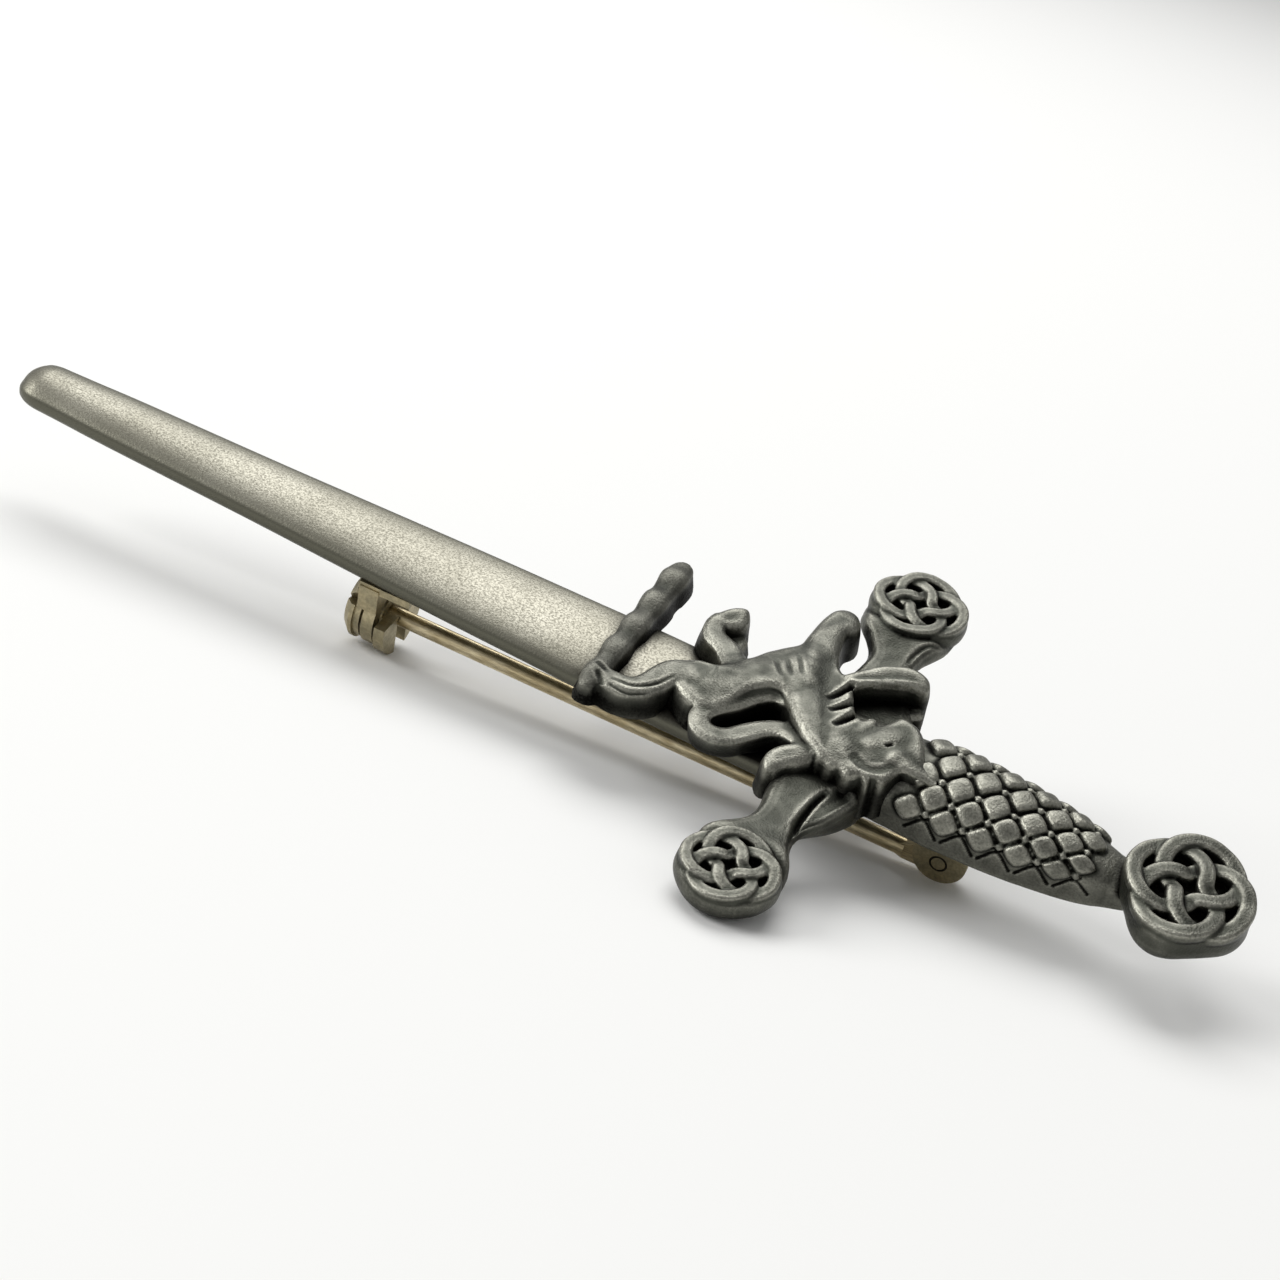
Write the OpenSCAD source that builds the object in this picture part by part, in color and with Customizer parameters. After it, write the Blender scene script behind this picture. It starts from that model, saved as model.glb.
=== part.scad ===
// Kilt pin in the form of a sword with a rampant lion on its guard.
// One flat-backed casting carries a hinge, a straight pin and a turning lock.
// The casting's own frame has x along the sword from the guard line to the pommel,
// y across it and z up from the flat back. The finished pin lies on the catch,
// the hinge and one boss, so that frame is tilted once, at the end.

/* [Blade] */
// Guard line to the tip of the blade
blade_reach = 66.7; // [56:0.5:80]
// Width of the blade where it leaves the figure
blade_w = 8.3; // [6:0.1:10]
// Width of the blade where its point starts to round off
point_w = 4.4; // [3.4:0.1:5.4]
// Length of the rounded point
point_len = 2.8; // [2:0.1:4]
// Thickness along the middle of the blade
blade_t = 1.6; // [1.3:0.1:2.2]
// Height of the bevelled sides of the blade
blade_side = 1.15; // [0.8:0.05:1.3]
// Width of those bevels
blade_bevel = 0.5; // [0.3:0.05:0.8]

/* [Guard] */
// Middle of one guard boss to the middle of the other
boss_span = 32; // [28:0.5:40]
// Width of the guard's waist
waist_w = 3.2; // [2.8:0.1:4.4]
// Height of the guard's flat top above the back
guard_top = 2.9; // [2.4:0.1:3.4]
// Height of the back of the bosses above the back of the blade
boss_lift = 1.5; // [1:0.1:1.9]

/* [Knots] */
// Middle of a boss to the middle of its knot's outer crossings
boss_knot_r = 2.8; // [2.4:0.1:3.4]
// Width of the strand of a boss knot
boss_strand = 0.86; // [0.7:0.02:1.1]
// Height of the crests of the boss knots above the back
boss_crest = 3.9; // [3.5:0.1:4.4]
// Middle of the pommel to the middle of its knot's outer crossings
pommel_knot_r = 3.5; // [3:0.1:4]
// Width of the strand of the pommel knot
pommel_strand = 1.12; // [0.9:0.02:1.3]
// Height of the crests of the pommel knot above the back
pommel_crest = 4.6; // [4.2:0.1:5]
// Width of the pommel across the sword against its length along it
pommel_stretch = 1.14; // [1:0.01:1.25]
// Bare rim outside each knot
knot_rim = 0.22; // [0.1:0.05:0.6]

/* [Grip] */
// Guard line to the middle of the pommel
pommel_reach = 26; // [25:0.5:32]
// Widest part of the grip
grip_w = 7.4; // [6:0.1:8.5]
// Width of the neck between grip and pommel
neck_w = 3.4; // [2.6:0.1:4]
// Height of the grip's core above the back
grip_top = 4.1; // [3.6:0.1:4.6]
// Spacing of the quilted pads along the grip
pad_pitch = 2.62; // [2.2:0.02:3.2]
// Height of a pad above the core
pad_h = 0.5; // [0.3:0.05:0.7]
// Width of the pellets where the grooves cross
pellet_w = 0.72; // [0.5:0.02:0.9]

/* [Lion] */
// Height of the figure, from the line that it stands on to the tip of its ear
lion_h = 24; // [21:0.5:27]
// Middle of the foot bar to the guard line
lion_foot = 16; // [14:0.5:18]
// Height of the figure's highest crests above the blade
lion_relief = 3.5; // [2.8:0.1:4]

/* [Hinge] */
// Guard line to the hinge rivet
hinge_x = 10.1; // [9:0.1:12]
// Depth of the rivet below the back
rivet_depth = 2.85; // [2.6:0.05:3.4]
// Diameter of the rivet
rivet_d = 1.16; // [0.9:0.02:1.3]
// Clearance around the rivet where the eye turns on it
eye_clearance = 0.05; // [0.02:0.01:0.1]
// Clearance around the rivet in the ears
ear_clearance = 0.02; // [0.01:0.01:0.04]
// Width of a hinge ear along the sword
ear_w = 3.9; // [3.4:0.1:4.6]
// Thickness of a hinge ear
ear_t = 0.5; // [0.4:0.05:0.8]
// Depth of the rounded end of the ears below the back
ear_depth = 4.45; // [4.2:0.05:5]
// Thickness of the plates soldered to the back
plate_t = 0.6; // [0.4:0.05:0.7]
// Length of the hinge plate
hinge_plate_l = 5.4; // [4.8:0.1:7]
// Width of the hinge plate
hinge_plate_w = 3.4; // [2.8:0.1:4.4]

/* [Pin] */
// Diameter of the pin wire
stem_d = 1.3; // [1:0.05:1.5]
// Depth of the wire's axis below the back
stem_depth = 3.65; // [3.4:0.05:4.2]
// Length of the sharpened end
point_taper = 2.4; // [2:0.2:3]
// Thickness of the flattened eye
eye_t = 0.86; // [0.7:0.02:1]
// Gap between the eye and each ear
eye_gap = 0.06; // [0.04:0.01:0.12]
// Width of the metal around the eye's hole
eye_ring = 0.62; // [0.5:0.02:0.8]
// Lean of the hinge and catch line against the middle of the blade, in degrees
fitting_skew = 1.7; // [0:0.1:2.5]

/* [Catch] */
// Hinge rivet to the middle of the catch's band
catch_reach = 44; // [40:0.5:52]
// Length of the catch's plate
catch_plate_l = 4.1; // [3.8:0.1:5]
// Width of the catch's plate
catch_plate_w = 4.4; // [4:0.1:5]
// Width of the band that holds the lock
band_w = 0.95; // [0.8:0.05:1.2]
// Wall of that band
band_wall = 0.85; // [0.7:0.05:1]
// Diameter of the lock's barrel
barrel_d = 3.3; // [3:0.05:3.6]
// Running clearance around the barrel
barrel_clearance = 0.1; // [0.05:0.01:0.15]
// Clearance between the wire and the lock's bore
bore_clearance = 0.2; // [0.15:0.01:0.25]
// Clearance on each side of the wire in the slot
slot_clearance = 0.12; // [0.1:0.01:0.2]
// Diameter of the flange on the hinge side of the lock
flange_d = 5.7; // [5.4:0.1:5.9]
// Diameter of the thumb flange on its other side
thumb_d = 5.3; // [5:0.1:5.7]
// Thickness of a flange
flange_t = 0.85; // [0.6:0.05:1]
// Width of the collar beside the thumb flange
collar_w = 0.5; // [0.4:0.05:0.7]
// Diameter of that collar
collar_d = 4.9; // [4.6:0.1:5.2]
// Height of the flat on the thumb flange above the lock's axis
thumb_flat = 2.2; // [1.8:0.05:2.4]
// Height of the flat on the other flange above the axis
flange_flat = 0.6; // [0.4:0.05:1]
// Gap between the band and the turning parts on each side of it
side_gap = 0.25; // [0.2:0.05:0.4]
// Width of the thumb notch
notch_w = 0.9; // [0.6:0.1:1.4]
// Depth of the thumb notch
notch_depth = 1; // [0.6:0.1:1.1]
// Height of the notch's direction above level, in degrees
notch_angle = 40; // [0:1:50]

/* [Hidden] */
round_fn = 64;

// Turns of the knots in the casting's own plane, in degrees
NEAR_TURN = -2;
FAR_TURN = -5;
POMMEL_TURN = -10;

// How far solids run into each other where the casting is one piece of metal
sink = 0.3;

// Path and skin helpers

function mix(a, b, t) = a * (1 - t) + b * t;

// Value of a two-column table at u, in straight steps between its rows
function lookup_rows(rows, u, i = 0) =
    i >= len(rows) - 2 || u <= rows[i + 1][0]
        ? mix(rows[i][1], rows[i + 1][1], (u - rows[i][0]) / (rows[i + 1][0] - rows[i][0]))
        : lookup_rows(rows, u, i + 1);

// One point of a smooth curve through four rows
function curve_row(a, b, c, d, t) =
    0.5 * (2 * b + (c - a) * t + (2 * a - 5 * b + 4 * c - d) * t * t
        + (3 * b - a - 3 * c + d) * t * t * t);

// Rows with steps - 1 more rows between each pair, on a smooth curve
function smooth_rows(rows, steps) = let(last = len(rows) - 1) [
    for (i = [0 : last - 1], k = [0 : steps - 1])
        curve_row(rows[max(i - 1, 0)], rows[i], rows[i + 1], rows[min(i + 2, last)], k / steps),
    rows[last]
];

function heading(rows, i) = let(
    a = rows[max(i - 1, 0)],
    b = rows[min(i + 1, len(rows) - 1)],
    d = [b.x - a.x, b.y - a.y]
) d / norm(d);

// Triangles between two rings of n points that start at index a and b
function band_faces(a, b, n) = [
    for (j = [0 : n - 1]) let(k = (j + 1) % n) each [[a + j, b + j, b + k], [a + j, b + k, a + k]]
];

// Corners of skins lie on a fine grid, so that two triangles are flat to each other or clearly not
CORNER_GRID = 0.0125;
function on_grid(p) = [for (c = p) round(c / CORNER_GRID) * CORNER_GRID];

// Solid through a row of rings, closed by a flat face at each end
module skin(rings) {
    n = len(rings[0]);
    last = len(rings) - 1;
    polyhedron(
        points = [for (ring = rings, p = ring) on_grid(p)],
        faces = concat(
            [[for (j = [0 : n - 1]) j]],
            [for (i = [0 : last - 1]) each band_faces(i * n, (i + 1) * n, n)],
            [[for (j = [n - 1 : -1 : 0]) last * n + j]]
        )
    );
}

// Blade

// Columns: share of the blade's reach from the guard, share of the way from point_w to blade_w
BLADE_WIDTH = [[0, 1], [0.21, 1], [0.3, 0.9], [0.42, 0.78], [0.56, 0.57], [0.68, 0.4], [0.86, 0.22],
               [0.93, 0.08], [1, 0]];
// Start of the blade under the guard, as a share of its reach
BLADE_ROOT = 0.03;
// How far the point thins towards its end
POINT_THIN = 0.45;
// Share of the crown's rise reached halfway across
CROWN_SHARE = 0.75;
// Height of the small lower bevel
BACK_BEVEL = 0.3;
BLADE_STEPS = 16;
POINT_STEPS = 6;

function blade_half(x) = let(
    u = x / blade_reach,
    point_u = (x - blade_reach + point_len) / point_len,
    w = mix(point_w, blade_w, lookup_rows(BLADE_WIDTH, min(u, 1))) / 2
) point_u <= 0 ? w : w * sqrt(max(1 - point_u * point_u, 0.004));

// Cross section of the blade: a flat back, bevelled sides and a crowned face
function blade_ring(x) = let(
    w = blade_half(x),
    thin = min(1, 1 - POINT_THIN + POINT_THIN * w / (point_w / 2)),
    bevel = min(blade_bevel, w / 3),
    slope = mix(blade_side, blade_t, CROWN_SHARE)
) [for (p = [[-w + bevel / 2, 0], [-w, BACK_BEVEL], [-w + bevel, blade_side], [-w / 2, slope],
             [0, blade_t], [w / 2, slope], [w - bevel, blade_side], [w, BACK_BEVEL],
             [w - bevel / 2, 0]]) [-x, p.x, p.y * thin]];

module blade() {
    straight_end = blade_reach - point_len;
    root = BLADE_ROOT * blade_reach;
    skin(concat(
        [for (i = [0 : BLADE_STEPS]) blade_ring(mix(root, straight_end, i / BLADE_STEPS))],
        [for (i = [1 : POINT_STEPS]) blade_ring(straight_end + point_len * sin(90 * i / POINT_STEPS))]
    ));
}

// Knots: a three-lead, four-bight Turk's head in one strand

KNOT_TURNS = 3;
KNOT_BIGHTS = 4;
// Shares of the radius of the outer crossings: swing of the strand, and its flattening
KNOT_SWING = 0.45;
KNOT_SQUARE = -0.04;
// The strand is made in a few lengths of equal steps, and each begins where the last one ends
KNOT_LENGTHS = 4;
KNOT_STEPS = 14;
// Rise and fall of the strand as a share of its width
KNOT_LIFT = 0.3;

// Middle of the strand at angle a, in a flat polar form with its rise
function knot_phase(a) = a * KNOT_BIGHTS / KNOT_TURNS;
function knot_middle(r) = r * (1 - KNOT_SWING / 2 + KNOT_SQUARE / 2);
function knot_radius(r, a) =
    knot_middle(r) + KNOT_SWING * r * cos(knot_phase(a)) + KNOT_SQUARE * r * cos(2 * knot_phase(a));
function knot_reach(r) = knot_radius(r, 0);
function knot_point(r, rise, a) = [
    knot_radius(r, a) * cos(a),
    knot_radius(r, a) * sin(a),
    rise * sin(2 * knot_phase(a))
];

// Half-round ring of the strand at angle a
STRAND_SECTION = [[-1, -1], [-1, 0.1], [-0.5, 0.92], [0.5, 0.92], [1, 0.1], [1, -1]];
function strand_ring(r, width, crest, a) = let(
    rise = KNOT_LIFT * width,
    p = knot_point(r, rise, a),
    q = knot_point(r, rise, a + 1) - knot_point(r, rise, a - 1),
    side = [q.y, -q.x] / norm([q.x, q.y])
) [for (s = STRAND_SECTION) [
    p.x + side.x * s.x * width / 2,
    p.y + side.y * s.x * width / 2,
    crest - rise + p.z + (s.y - 1) * width / 2
]];

module knot(r, width, crest) {
    steps = KNOT_LENGTHS * KNOT_STEPS;
    rings = [for (i = [0 : steps - 1]) strand_ring(r, width, crest, 360 * KNOT_TURNS * i / steps)];
    for (k = [0 : KNOT_LENGTHS - 1])
        skin([for (i = [0 : KNOT_STEPS]) rings[(k * KNOT_STEPS + i) % steps]]);
}

// Body under a knot: four soft lobes, a rounded edge and a flat back
LOBE_STEPS = 24;
LOBE_DEPTH = 0.075;
EDGE_R = 1.1;
// Columns: inset and height of each level of the rounded edge, as shares of EDGE_R
EDGE_LEVELS = [[1, 0], [0.45, 0.16], [0.12, 0.5], [0, 1]];
RIM_CHAMFER = 0.25;
// Depth of the knots' ground below their crests, as a share of the strand's width
GROUND_DEPTH = 0.95;

function boss_outline(r, inset) = [for (i = [0 : LOBE_STEPS - 1]) let(
    a = 360 * i / LOBE_STEPS,
    q = r * (1 - LOBE_DEPTH + LOBE_DEPTH * cos(KNOT_BIGHTS * a)) - inset
) [q * cos(a), q * sin(a)]];

module boss_body(r, back, top) {
    levels = concat(
        [for (e = EDGE_LEVELS) [e.x * EDGE_R, back + e.y * EDGE_R]],
        [[0, top - RIM_CHAMFER], [RIM_CHAMFER, top]]
    );
    skin([for (l = levels) [for (p = boss_outline(r, l.x)) [p.x, p.y, l.y]]]);
}

// A knot, the body under it and its turn about the middle of the boss
module knotted_boss(r, strand, crest, back, turn) {
    body_r = knot_reach(r) + strand / 2 + knot_rim;
    rotate(turn) {
        boss_body(body_r, back, crest - strand * GROUND_DEPTH);
        knot(r, strand, crest);
    }
}

// Guard

// Columns: share of the half span, left edge, right edge, inset of the flat top, back height
// Edges are shares of half the waist's width, the inset too, the back's height of boss_lift
GUARD_ROWS = [
    [0, 1.3, 2.9, 0.9, 0],
    [0.24, 1.25, 2.9, 0.9, 0],
    [0.38, 1, 2.1, 0.8, 0.25],
    [0.47, 0.88, 1.5, 0.6, 0.6],
    [0.54, 0.9, 1.16, 0.55, 0.85],
    [0.61, 1.12, 1.2, 0.5, 1],
    [0.7, 1.7, 1.65, 0.5, 1],
    [0.8, 2.05, 2, 0.5, 1]
];
// Fall from the flat top to the shoulders, and the small bevel along the back
GUARD_DROP = 0.9;
GUARD_BEVEL = 0.35;

function guard_ring(row, side) = let(
    unit = waist_w / 2,
    left = -row[1] * unit,
    right = row[2] * unit,
    inset = row[3] * unit,
    back = row[4] * boss_lift,
    y = side * row[0] * boss_span / 2,
    shoulder = guard_top - GUARD_DROP,
    low = back + GUARD_BEVEL,
    ring = [for (p = [[left + GUARD_BEVEL, back], [left, low], [left, shoulder],
                      [left + inset, guard_top], [right - inset, guard_top], [right, shoulder],
                      [right, low], [right - GUARD_BEVEL, back]]) [p.x, y, p.y]]
) side > 0 ? ring : [for (i = [7 : -1 : 0]) ring[i]];

module guard() {
    for (side = [-1, 1])
        skin([for (row = smooth_rows(GUARD_ROWS, 2)) guard_ring(row, side)]);
    for (boss = [[-1, NEAR_TURN], [1, FAR_TURN]])
        translate([0, boss[0] * boss_span / 2, 0])
            knotted_boss(boss_knot_r, boss_strand, boss_crest, boss_lift, boss[1]);
}

// Grip

// Columns: share of the way from the guard line to the pommel's edge, half width, crest
// Widths are shares of the way from the neck to the widest part, crests of grip_top
GRIP_ROWS = [[0, 0.8, 0.82], [0.25, 0.95, 0.95], [0.42, 1, 1], [0.52, 0.95, 1], [0.65, 0.85, 0.98],
             [0.76, 0.68, 0.95], [0.86, 0.46, 0.9], [0.95, 0.18, 0.8], [1, 0.05, 0.74], [1.1, 0.1, 0.72]];
// Height of the grip's widest line, the bevel along its back and its shift across the sword
GRIP_FLANK = 1.7;
GRIP_BEVEL = 0.4;
GRIP_SHIFT = 0.2;
// Powers below 1 make the grip's section boxier than an ellipse
GRIP_BOX = 0.8;
GRIP_ARC_STEPS = 6;
// Rows of pads: degrees from the crest to each side, share of a pitch to the first pad,
// and the shares of the grip's length between which pads stand
PAD_ROWS = [12, 42, 74];
PAD_FIRST = 0.3;
PAD_FROM = 0.3;
PAD_TO = 0.93;
PELLETS_TO = 0.9;
// Half length of a pad as a share of the pitch, and its half width
PAD_LENGTH = 0.52;
PAD_HALF = 1.3;

pommel_body_r = knot_reach(pommel_knot_r) + pommel_strand / 2 + knot_rim;
grip_end = pommel_reach - pommel_body_r;

function grip_half(u) = mix(neck_w, grip_w, lookup_rows([for (r = GRIP_ROWS) [r[0], r[1]]], u)) / 2;
function grip_crest(u) = grip_top * lookup_rows([for (r = GRIP_ROWS) [r[0], r[2]]], u);

// Point of the grip's core at share u along it and angle t round it, 90 at its crest
function grip_point(u, t) = [
    u * grip_end,
    grip_half(u) * sign(cos(t)) * pow(abs(cos(t)), GRIP_BOX),
    GRIP_FLANK + (grip_crest(u) - GRIP_FLANK) * sign(sin(t)) * pow(abs(sin(t)), GRIP_BOX)
];

function grip_ring(u) = let(w = grip_half(u)) concat(
    [[u * grip_end, w - GRIP_BEVEL, 0], [u * grip_end, w, GRIP_BEVEL]],
    [for (i = [0 : GRIP_ARC_STEPS]) grip_point(u, 180 * i / GRIP_ARC_STEPS)],
    [[u * grip_end, -w, GRIP_BEVEL], [u * grip_end, GRIP_BEVEL - w, 0]]
);

// Outline of a pillow-like pad, and of a round pellet, in its own plane
PAD_CORNER = 0.96;
PAD_SIDE = 0.8;
// The corners of pads and pellets are turned a little, so that no two edges run into one line
PAD_TURN = 3;
PELLET_TURN = 22;
PAD_OUTLINE = [for (i = [0 : 7]) let(a = 45 * i + PAD_TURN, q = i % 2 == 0 ? PAD_CORNER : PAD_SIDE)
    [q * cos(a), q * sin(a)]];
PELLET_OUTLINE = [for (i = [0 : 5]) let(a = 60 * i + PELLET_TURN) [cos(a), sin(a)]];
// Columns: size and height of each level of a pad, as shares
PAD_LEVELS = [[0.98, -0.8], [0.94, 0.45], [0.6, 1]];
PELLET_LEVELS = [[1, -0.8], [0.7, 0.7]];

// Raised form on the grip's core, half as long and wide as size gives
module on_grip(u, t, size, outline, levels) {
    p = grip_point(u, t);
    along = grip_point(u + 0.01, t) - p;
    round = grip_point(u, t + 1) - p;
    ex = along / norm(along);
    n = cross(ex, round / norm(round));
    ey = cross(n, ex);
    skin([for (l = levels) [for (q = outline)
        p + ex * q.x * size.x * l.x + ey * q.y * size.y * l.x + n * l.y * pad_h]]);
}

module grip() {
    translate([0, GRIP_SHIFT, 0])
        grip_body();
}

module grip_body() {
    skin([for (row = GRIP_ROWS) grip_ring(row[0])]);
    pads = floor(grip_end / pad_pitch);
    for (side = [0, 1], k = [0 : len(PAD_ROWS) - 1], i = [0 : pads - 1]) {
        shift = (k + side) % 2 == 0 ? 0 : 0.5;
        u = (i + PAD_FIRST + shift) * pad_pitch / grip_end;
        t = side == 0 ? 90 - PAD_ROWS[k] : 90 + PAD_ROWS[k];
        between = u + pad_pitch / grip_end / 2;
        narrow = grip_half(u) / (grip_w / 2);
        if (u > PAD_FROM && u < PAD_TO) {
            on_grip(u, t, [pad_pitch * PAD_LENGTH, PAD_HALF * narrow], PAD_OUTLINE, PAD_LEVELS);
            if (between < PELLETS_TO)
                on_grip(between, t, [pellet_w, pellet_w] / 2, PELLET_OUTLINE, PELLET_LEVELS);
        }
    }
}

module pommel() {
    translate([pommel_reach, 0, 0])
        scale([1, pommel_stretch, 1])
            knotted_boss(pommel_knot_r, pommel_strand, pommel_crest, boss_lift, POMMEL_TURN);
}

// Lion, drawn on a grid of 24 squares to its height

LION_GRID = 24;
lion_square = lion_h / LION_GRID;
LIMB_SECTION = [[-1, 0], [-1, 0.6], [-0.55, 0.96], [0.55, 0.96], [1, 0.6], [1, 0]];
LIMB_STEPS = 2;
// Height above the back to which the limbs' sides run down
LIMB_FOOT = 0.9;

// Columns of every limb: along, across, half width, all in squares, and crest as a share
TORSO = [[5.1, -1, 1.2, 0.54], [7, -0.8, 2, 0.66], [8.8, 0.7, 2, 0.76], [10.3, 2.4, 2.4, 0.84],
         [12, 3.4, 2.7, 0.89], [13.8, 2.5, 2.8, 0.92], [15.2, 0.8, 2.6, 0.93], [16.6, -0.9, 2.4, 0.94],
         [18, -2, 2.3, 0.96], [19.2, -2, 1.9, 0.96]];
STANDING_LEG = [[6.3, -1, 1.5, 0.63], [4.8, -1.4, 1.3, 0.54], [4.2, -2.7, 1.1, 0.49], [3.5, -3.7, 0.9, 0.46],
                [2.3, -4.1, 0.85, 0.43], [0.8, -4, 0.8, 0.4]];
RAISED_LEG = [[8.6, 1.2, 1.2, 0.7], [6.6, 2.4, 1.1, 0.6], [5.4, 3.7, 1.05, 0.55], [4.9, 5.3, 1, 0.53],
              [5.2, 6.8, 0.95, 0.53], [6, 7.9, 0.85, 0.52], [6.6, 8.3, 0.5, 0.48]];
LOWER_FORELEG = [[12.9, 3.8, 1.8, 0.89], [12.6, 6.9, 1.5, 0.79], [12.3, 9.7, 1.35, 0.7],
                 [12.5, 11.5, 1.2, 0.64], [13.2, 11.9, 0.9, 0.6], [13.7, 11.3, 0.5, 0.56]];
UPPER_FORELEG = [[14.8, 3.4, 1.2, 0.91], [15.6, 4.8, 1, 0.97], [16.5, 6.1, 0.9, 1], [17.7, 7, 0.85, 1],
                 [19, 7.4, 0.85, 0.97], [20.1, 7, 0.85, 0.92], [20.8, 5.9, 0.8, 0.86], [20.7, 4.7, 0.7, 0.8]];
TAIL = [[7.3, -2.6, 0.7, 0.6], [7.5, -3.8, 0.8, 0.54], [8, -4.8, 0.85, 0.48], [8.9, -5.5, 0.85, 0.44],
        [10.1, -5.3, 0.85, 0.43], [11.3, -4.3, 0.85, 0.46], [12.4, -2.9, 0.8, 0.53], [13.3, -2.4, 0.8, 0.6],
        [14.6, -2.7, 0.8, 0.68], [15.6, -3.4, 0.8, 0.74]];
TUFT = [[15.7, -3.5, 0.9, 0.68], [15.2, -4.2, 1.3, 0.63], [14.5, -4.9, 1.1, 0.56], [13.9, -5.7, 0.5, 0.5]];
FOOT_ENDS = [[0, -5.9], [0, 10]];
FOOT_TOES = 5;
// Half widths of the bar at its ends, on a toe and between toes, then its crests, as above
TOE_END = 0.5;
TOE_HALF = 1.15;
TOE_NECK = 0.95;
TOE_CREST = 0.42;
TOE_DIP = 0.3;
MUZZLE = [[19, -1.4, 1.5, 1], [20, 0.1, 1.6, 1.03], [20.7, 1.5, 1.3, 1], [21, 2.7, 0.8, 0.9]];
JAW = [[17.9, -0.5, 1.1, 0.92], [18.4, 0.9, 0.75, 0.92], [18.4, 2, 0.5, 0.86]];
EAR = [[20.6, -1.1, 1, 1.03], [21.8, -1, 0.9, 0.98], [22.9, -1.1, 0.6, 0.88], [23.8, -1.3, 0.25, 0.76]];
LIMBS = [TORSO, STANDING_LEG, RAISED_LEG, LOWER_FORELEG, UPPER_FORELEG, TAIL, TUFT, MUZZLE, JAW, EAR];
// Columns: along and across of each tip and notch of the mane, in squares
MANE = [[16, 0.6], [18.2, 0.2], [20.4, 0.8], [22.2, -0.4], [22.2, -1.8], [21.6, -2.8], [21.3, -4],
        [20.5, -3.9], [20.1, -5], [19.2, -4.5], [18.3, -5], [17.8, -4.5], [16.9, -4.6], [16.4, -2.6]];
MANE_LEVELS = [[1, -1], [1, 0.6], [0.9, 0.84], [0.62, 0.95]];
// Columns: along and across of each cut between the locks of the chest, in squares
CHEST_CUTS = [[14.4, 2.1], [15.2, 0.5], [16.3, -1]];
// Depth share, turn, length and width of those cuts
CUT_FLOOR = 0.7;
CUT_TURN = 42;
CUT_SIZE = [1.9, 0.4];
// Place, depth share and width of the eye
EYE = [20.2, -0.6];
EYE_FLOOR = 0.96;
EYE_W = 0.55;

function lion_x(square) = square * lion_square - lion_foot;
function lion_z(share) = blade_t + share * lion_relief;
function lion_row(row) = [lion_x(row[0]), row[1] * lion_square, row[2] * lion_square, lion_z(row[3])];

// A limb is a ridge with steep sides that run down into the metal behind it
module limb(table, foot = LIMB_FOOT) {
    rows = smooth_rows([for (row = table) lion_row(row)], LIMB_STEPS);
    skin([for (i = [0 : len(rows) - 1]) let(r = rows[i], d = heading(rows, i))
        [for (s = LIMB_SECTION) [
            r.x + d.y * s.x * r[2],
            r.y - d.x * s.x * r[2],
            mix(foot, r[3], s.y)
        ]]
    ]);
}

// Bar of toes on which the standing leg ends: thick at each toe, thin between them
module foot_bar() {
    toe_rows = [for (i = [0 : 2 * FOOT_TOES]) let(
        u = i / (2 * FOOT_TOES),
        thick = i % 2 == 1
    ) [mix(FOOT_ENDS[0].x, FOOT_ENDS[1].x, u), mix(FOOT_ENDS[0].y, FOOT_ENDS[1].y, u),
       i == 0 || i == 2 * FOOT_TOES ? TOE_END : thick ? TOE_HALF : TOE_NECK,
       thick ? TOE_CREST : TOE_DIP]];
    limb(toe_rows);
}

module mane() {
    centre = [for (k = [0, 1]) (max([for (p = MANE) p[k]]) + min([for (p = MANE) p[k]])) / 2];
    skin([for (l = MANE_LEVELS) [for (i = [len(MANE) - 1 : -1 : 0]) let(p = mix(centre, MANE[i], l.x))
        [lion_x(p.x), p.y * lion_square, l.y < 0 ? sink : lion_z(l.y)]]]);
}

module lion() {
    difference() {
        union() {
            for (table = LIMBS)
                limb(table);
            foot_bar();
            mane();
        }
        for (c = CHEST_CUTS)
            translate([lion_x(c.x), c.y * lion_square, lion_z(CUT_FLOOR)])
                rotate(CUT_TURN)
                    cube([CUT_SIZE.x, CUT_SIZE.y, lion_relief]);
        translate([lion_x(EYE.x), EYE.y * lion_square, lion_z(EYE_FLOOR)])
            cylinder(d = EYE_W, h = lion_relief, $fn = 8);
    }
}

module sword() {
    blade();
    guard();
    grip();
    pommel();
    lion();
}

// Fittings, in a frame of their own: x = 0 at the rivet, the catch towards -x

rivet_r = rivet_d / 2;
eye_r = rivet_r + eye_clearance + eye_ring;
ear_inner = eye_t / 2 + eye_gap;
ear_outer = ear_inner + ear_t;
stem_r = stem_d / 2;
// The wire is round from just outside the ears
wire_start = ear_w / 2 + 0.7;
wire_lap = 0.6;
band_left = -catch_reach - band_w / 2;
band_right = -catch_reach + band_w / 2;
lock_left = band_left - side_gap - collar_w - flange_t;
lock_right = band_right + side_gap + flange_t;
stem_tip = lock_left + 0.2;
band_r = barrel_d / 2 + barrel_clearance + band_wall;
slot_w = stem_d + 2 * slot_clearance;
lock_bore_d = stem_d + 2 * bore_clearance;
// Gap between the cover and the turning parts under it
cover_gap = 0.15;
// The plates begin this far outside the rivet and the band
hinge_plate_lead = 2.3;
catch_plate_lead = 0.7;
// The cover is this much narrower than the band, and the band's mouth wider than the slot
COVER_INSET = 0.6;
MOUTH_EXTRA = 0.2;
tip_d = 0.16;
// Shares of the eye's radius where the wire's flattened end meets it
EYE_TOP = 0.9;
EYE_BACK = 0.35;
EYE_LOW = 0.2;

// Cylinder along x from x0 to x1, at the depth of the wire
module along_x(x0, x1, d, d_end = 0) {
    translate([x0, 0, -stem_depth])
        rotate([0, 90, 0])
            cylinder(h = x1 - x0, d1 = d, d2 = d_end > 0 ? d_end : d, $fn = round_fn);
}

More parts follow.
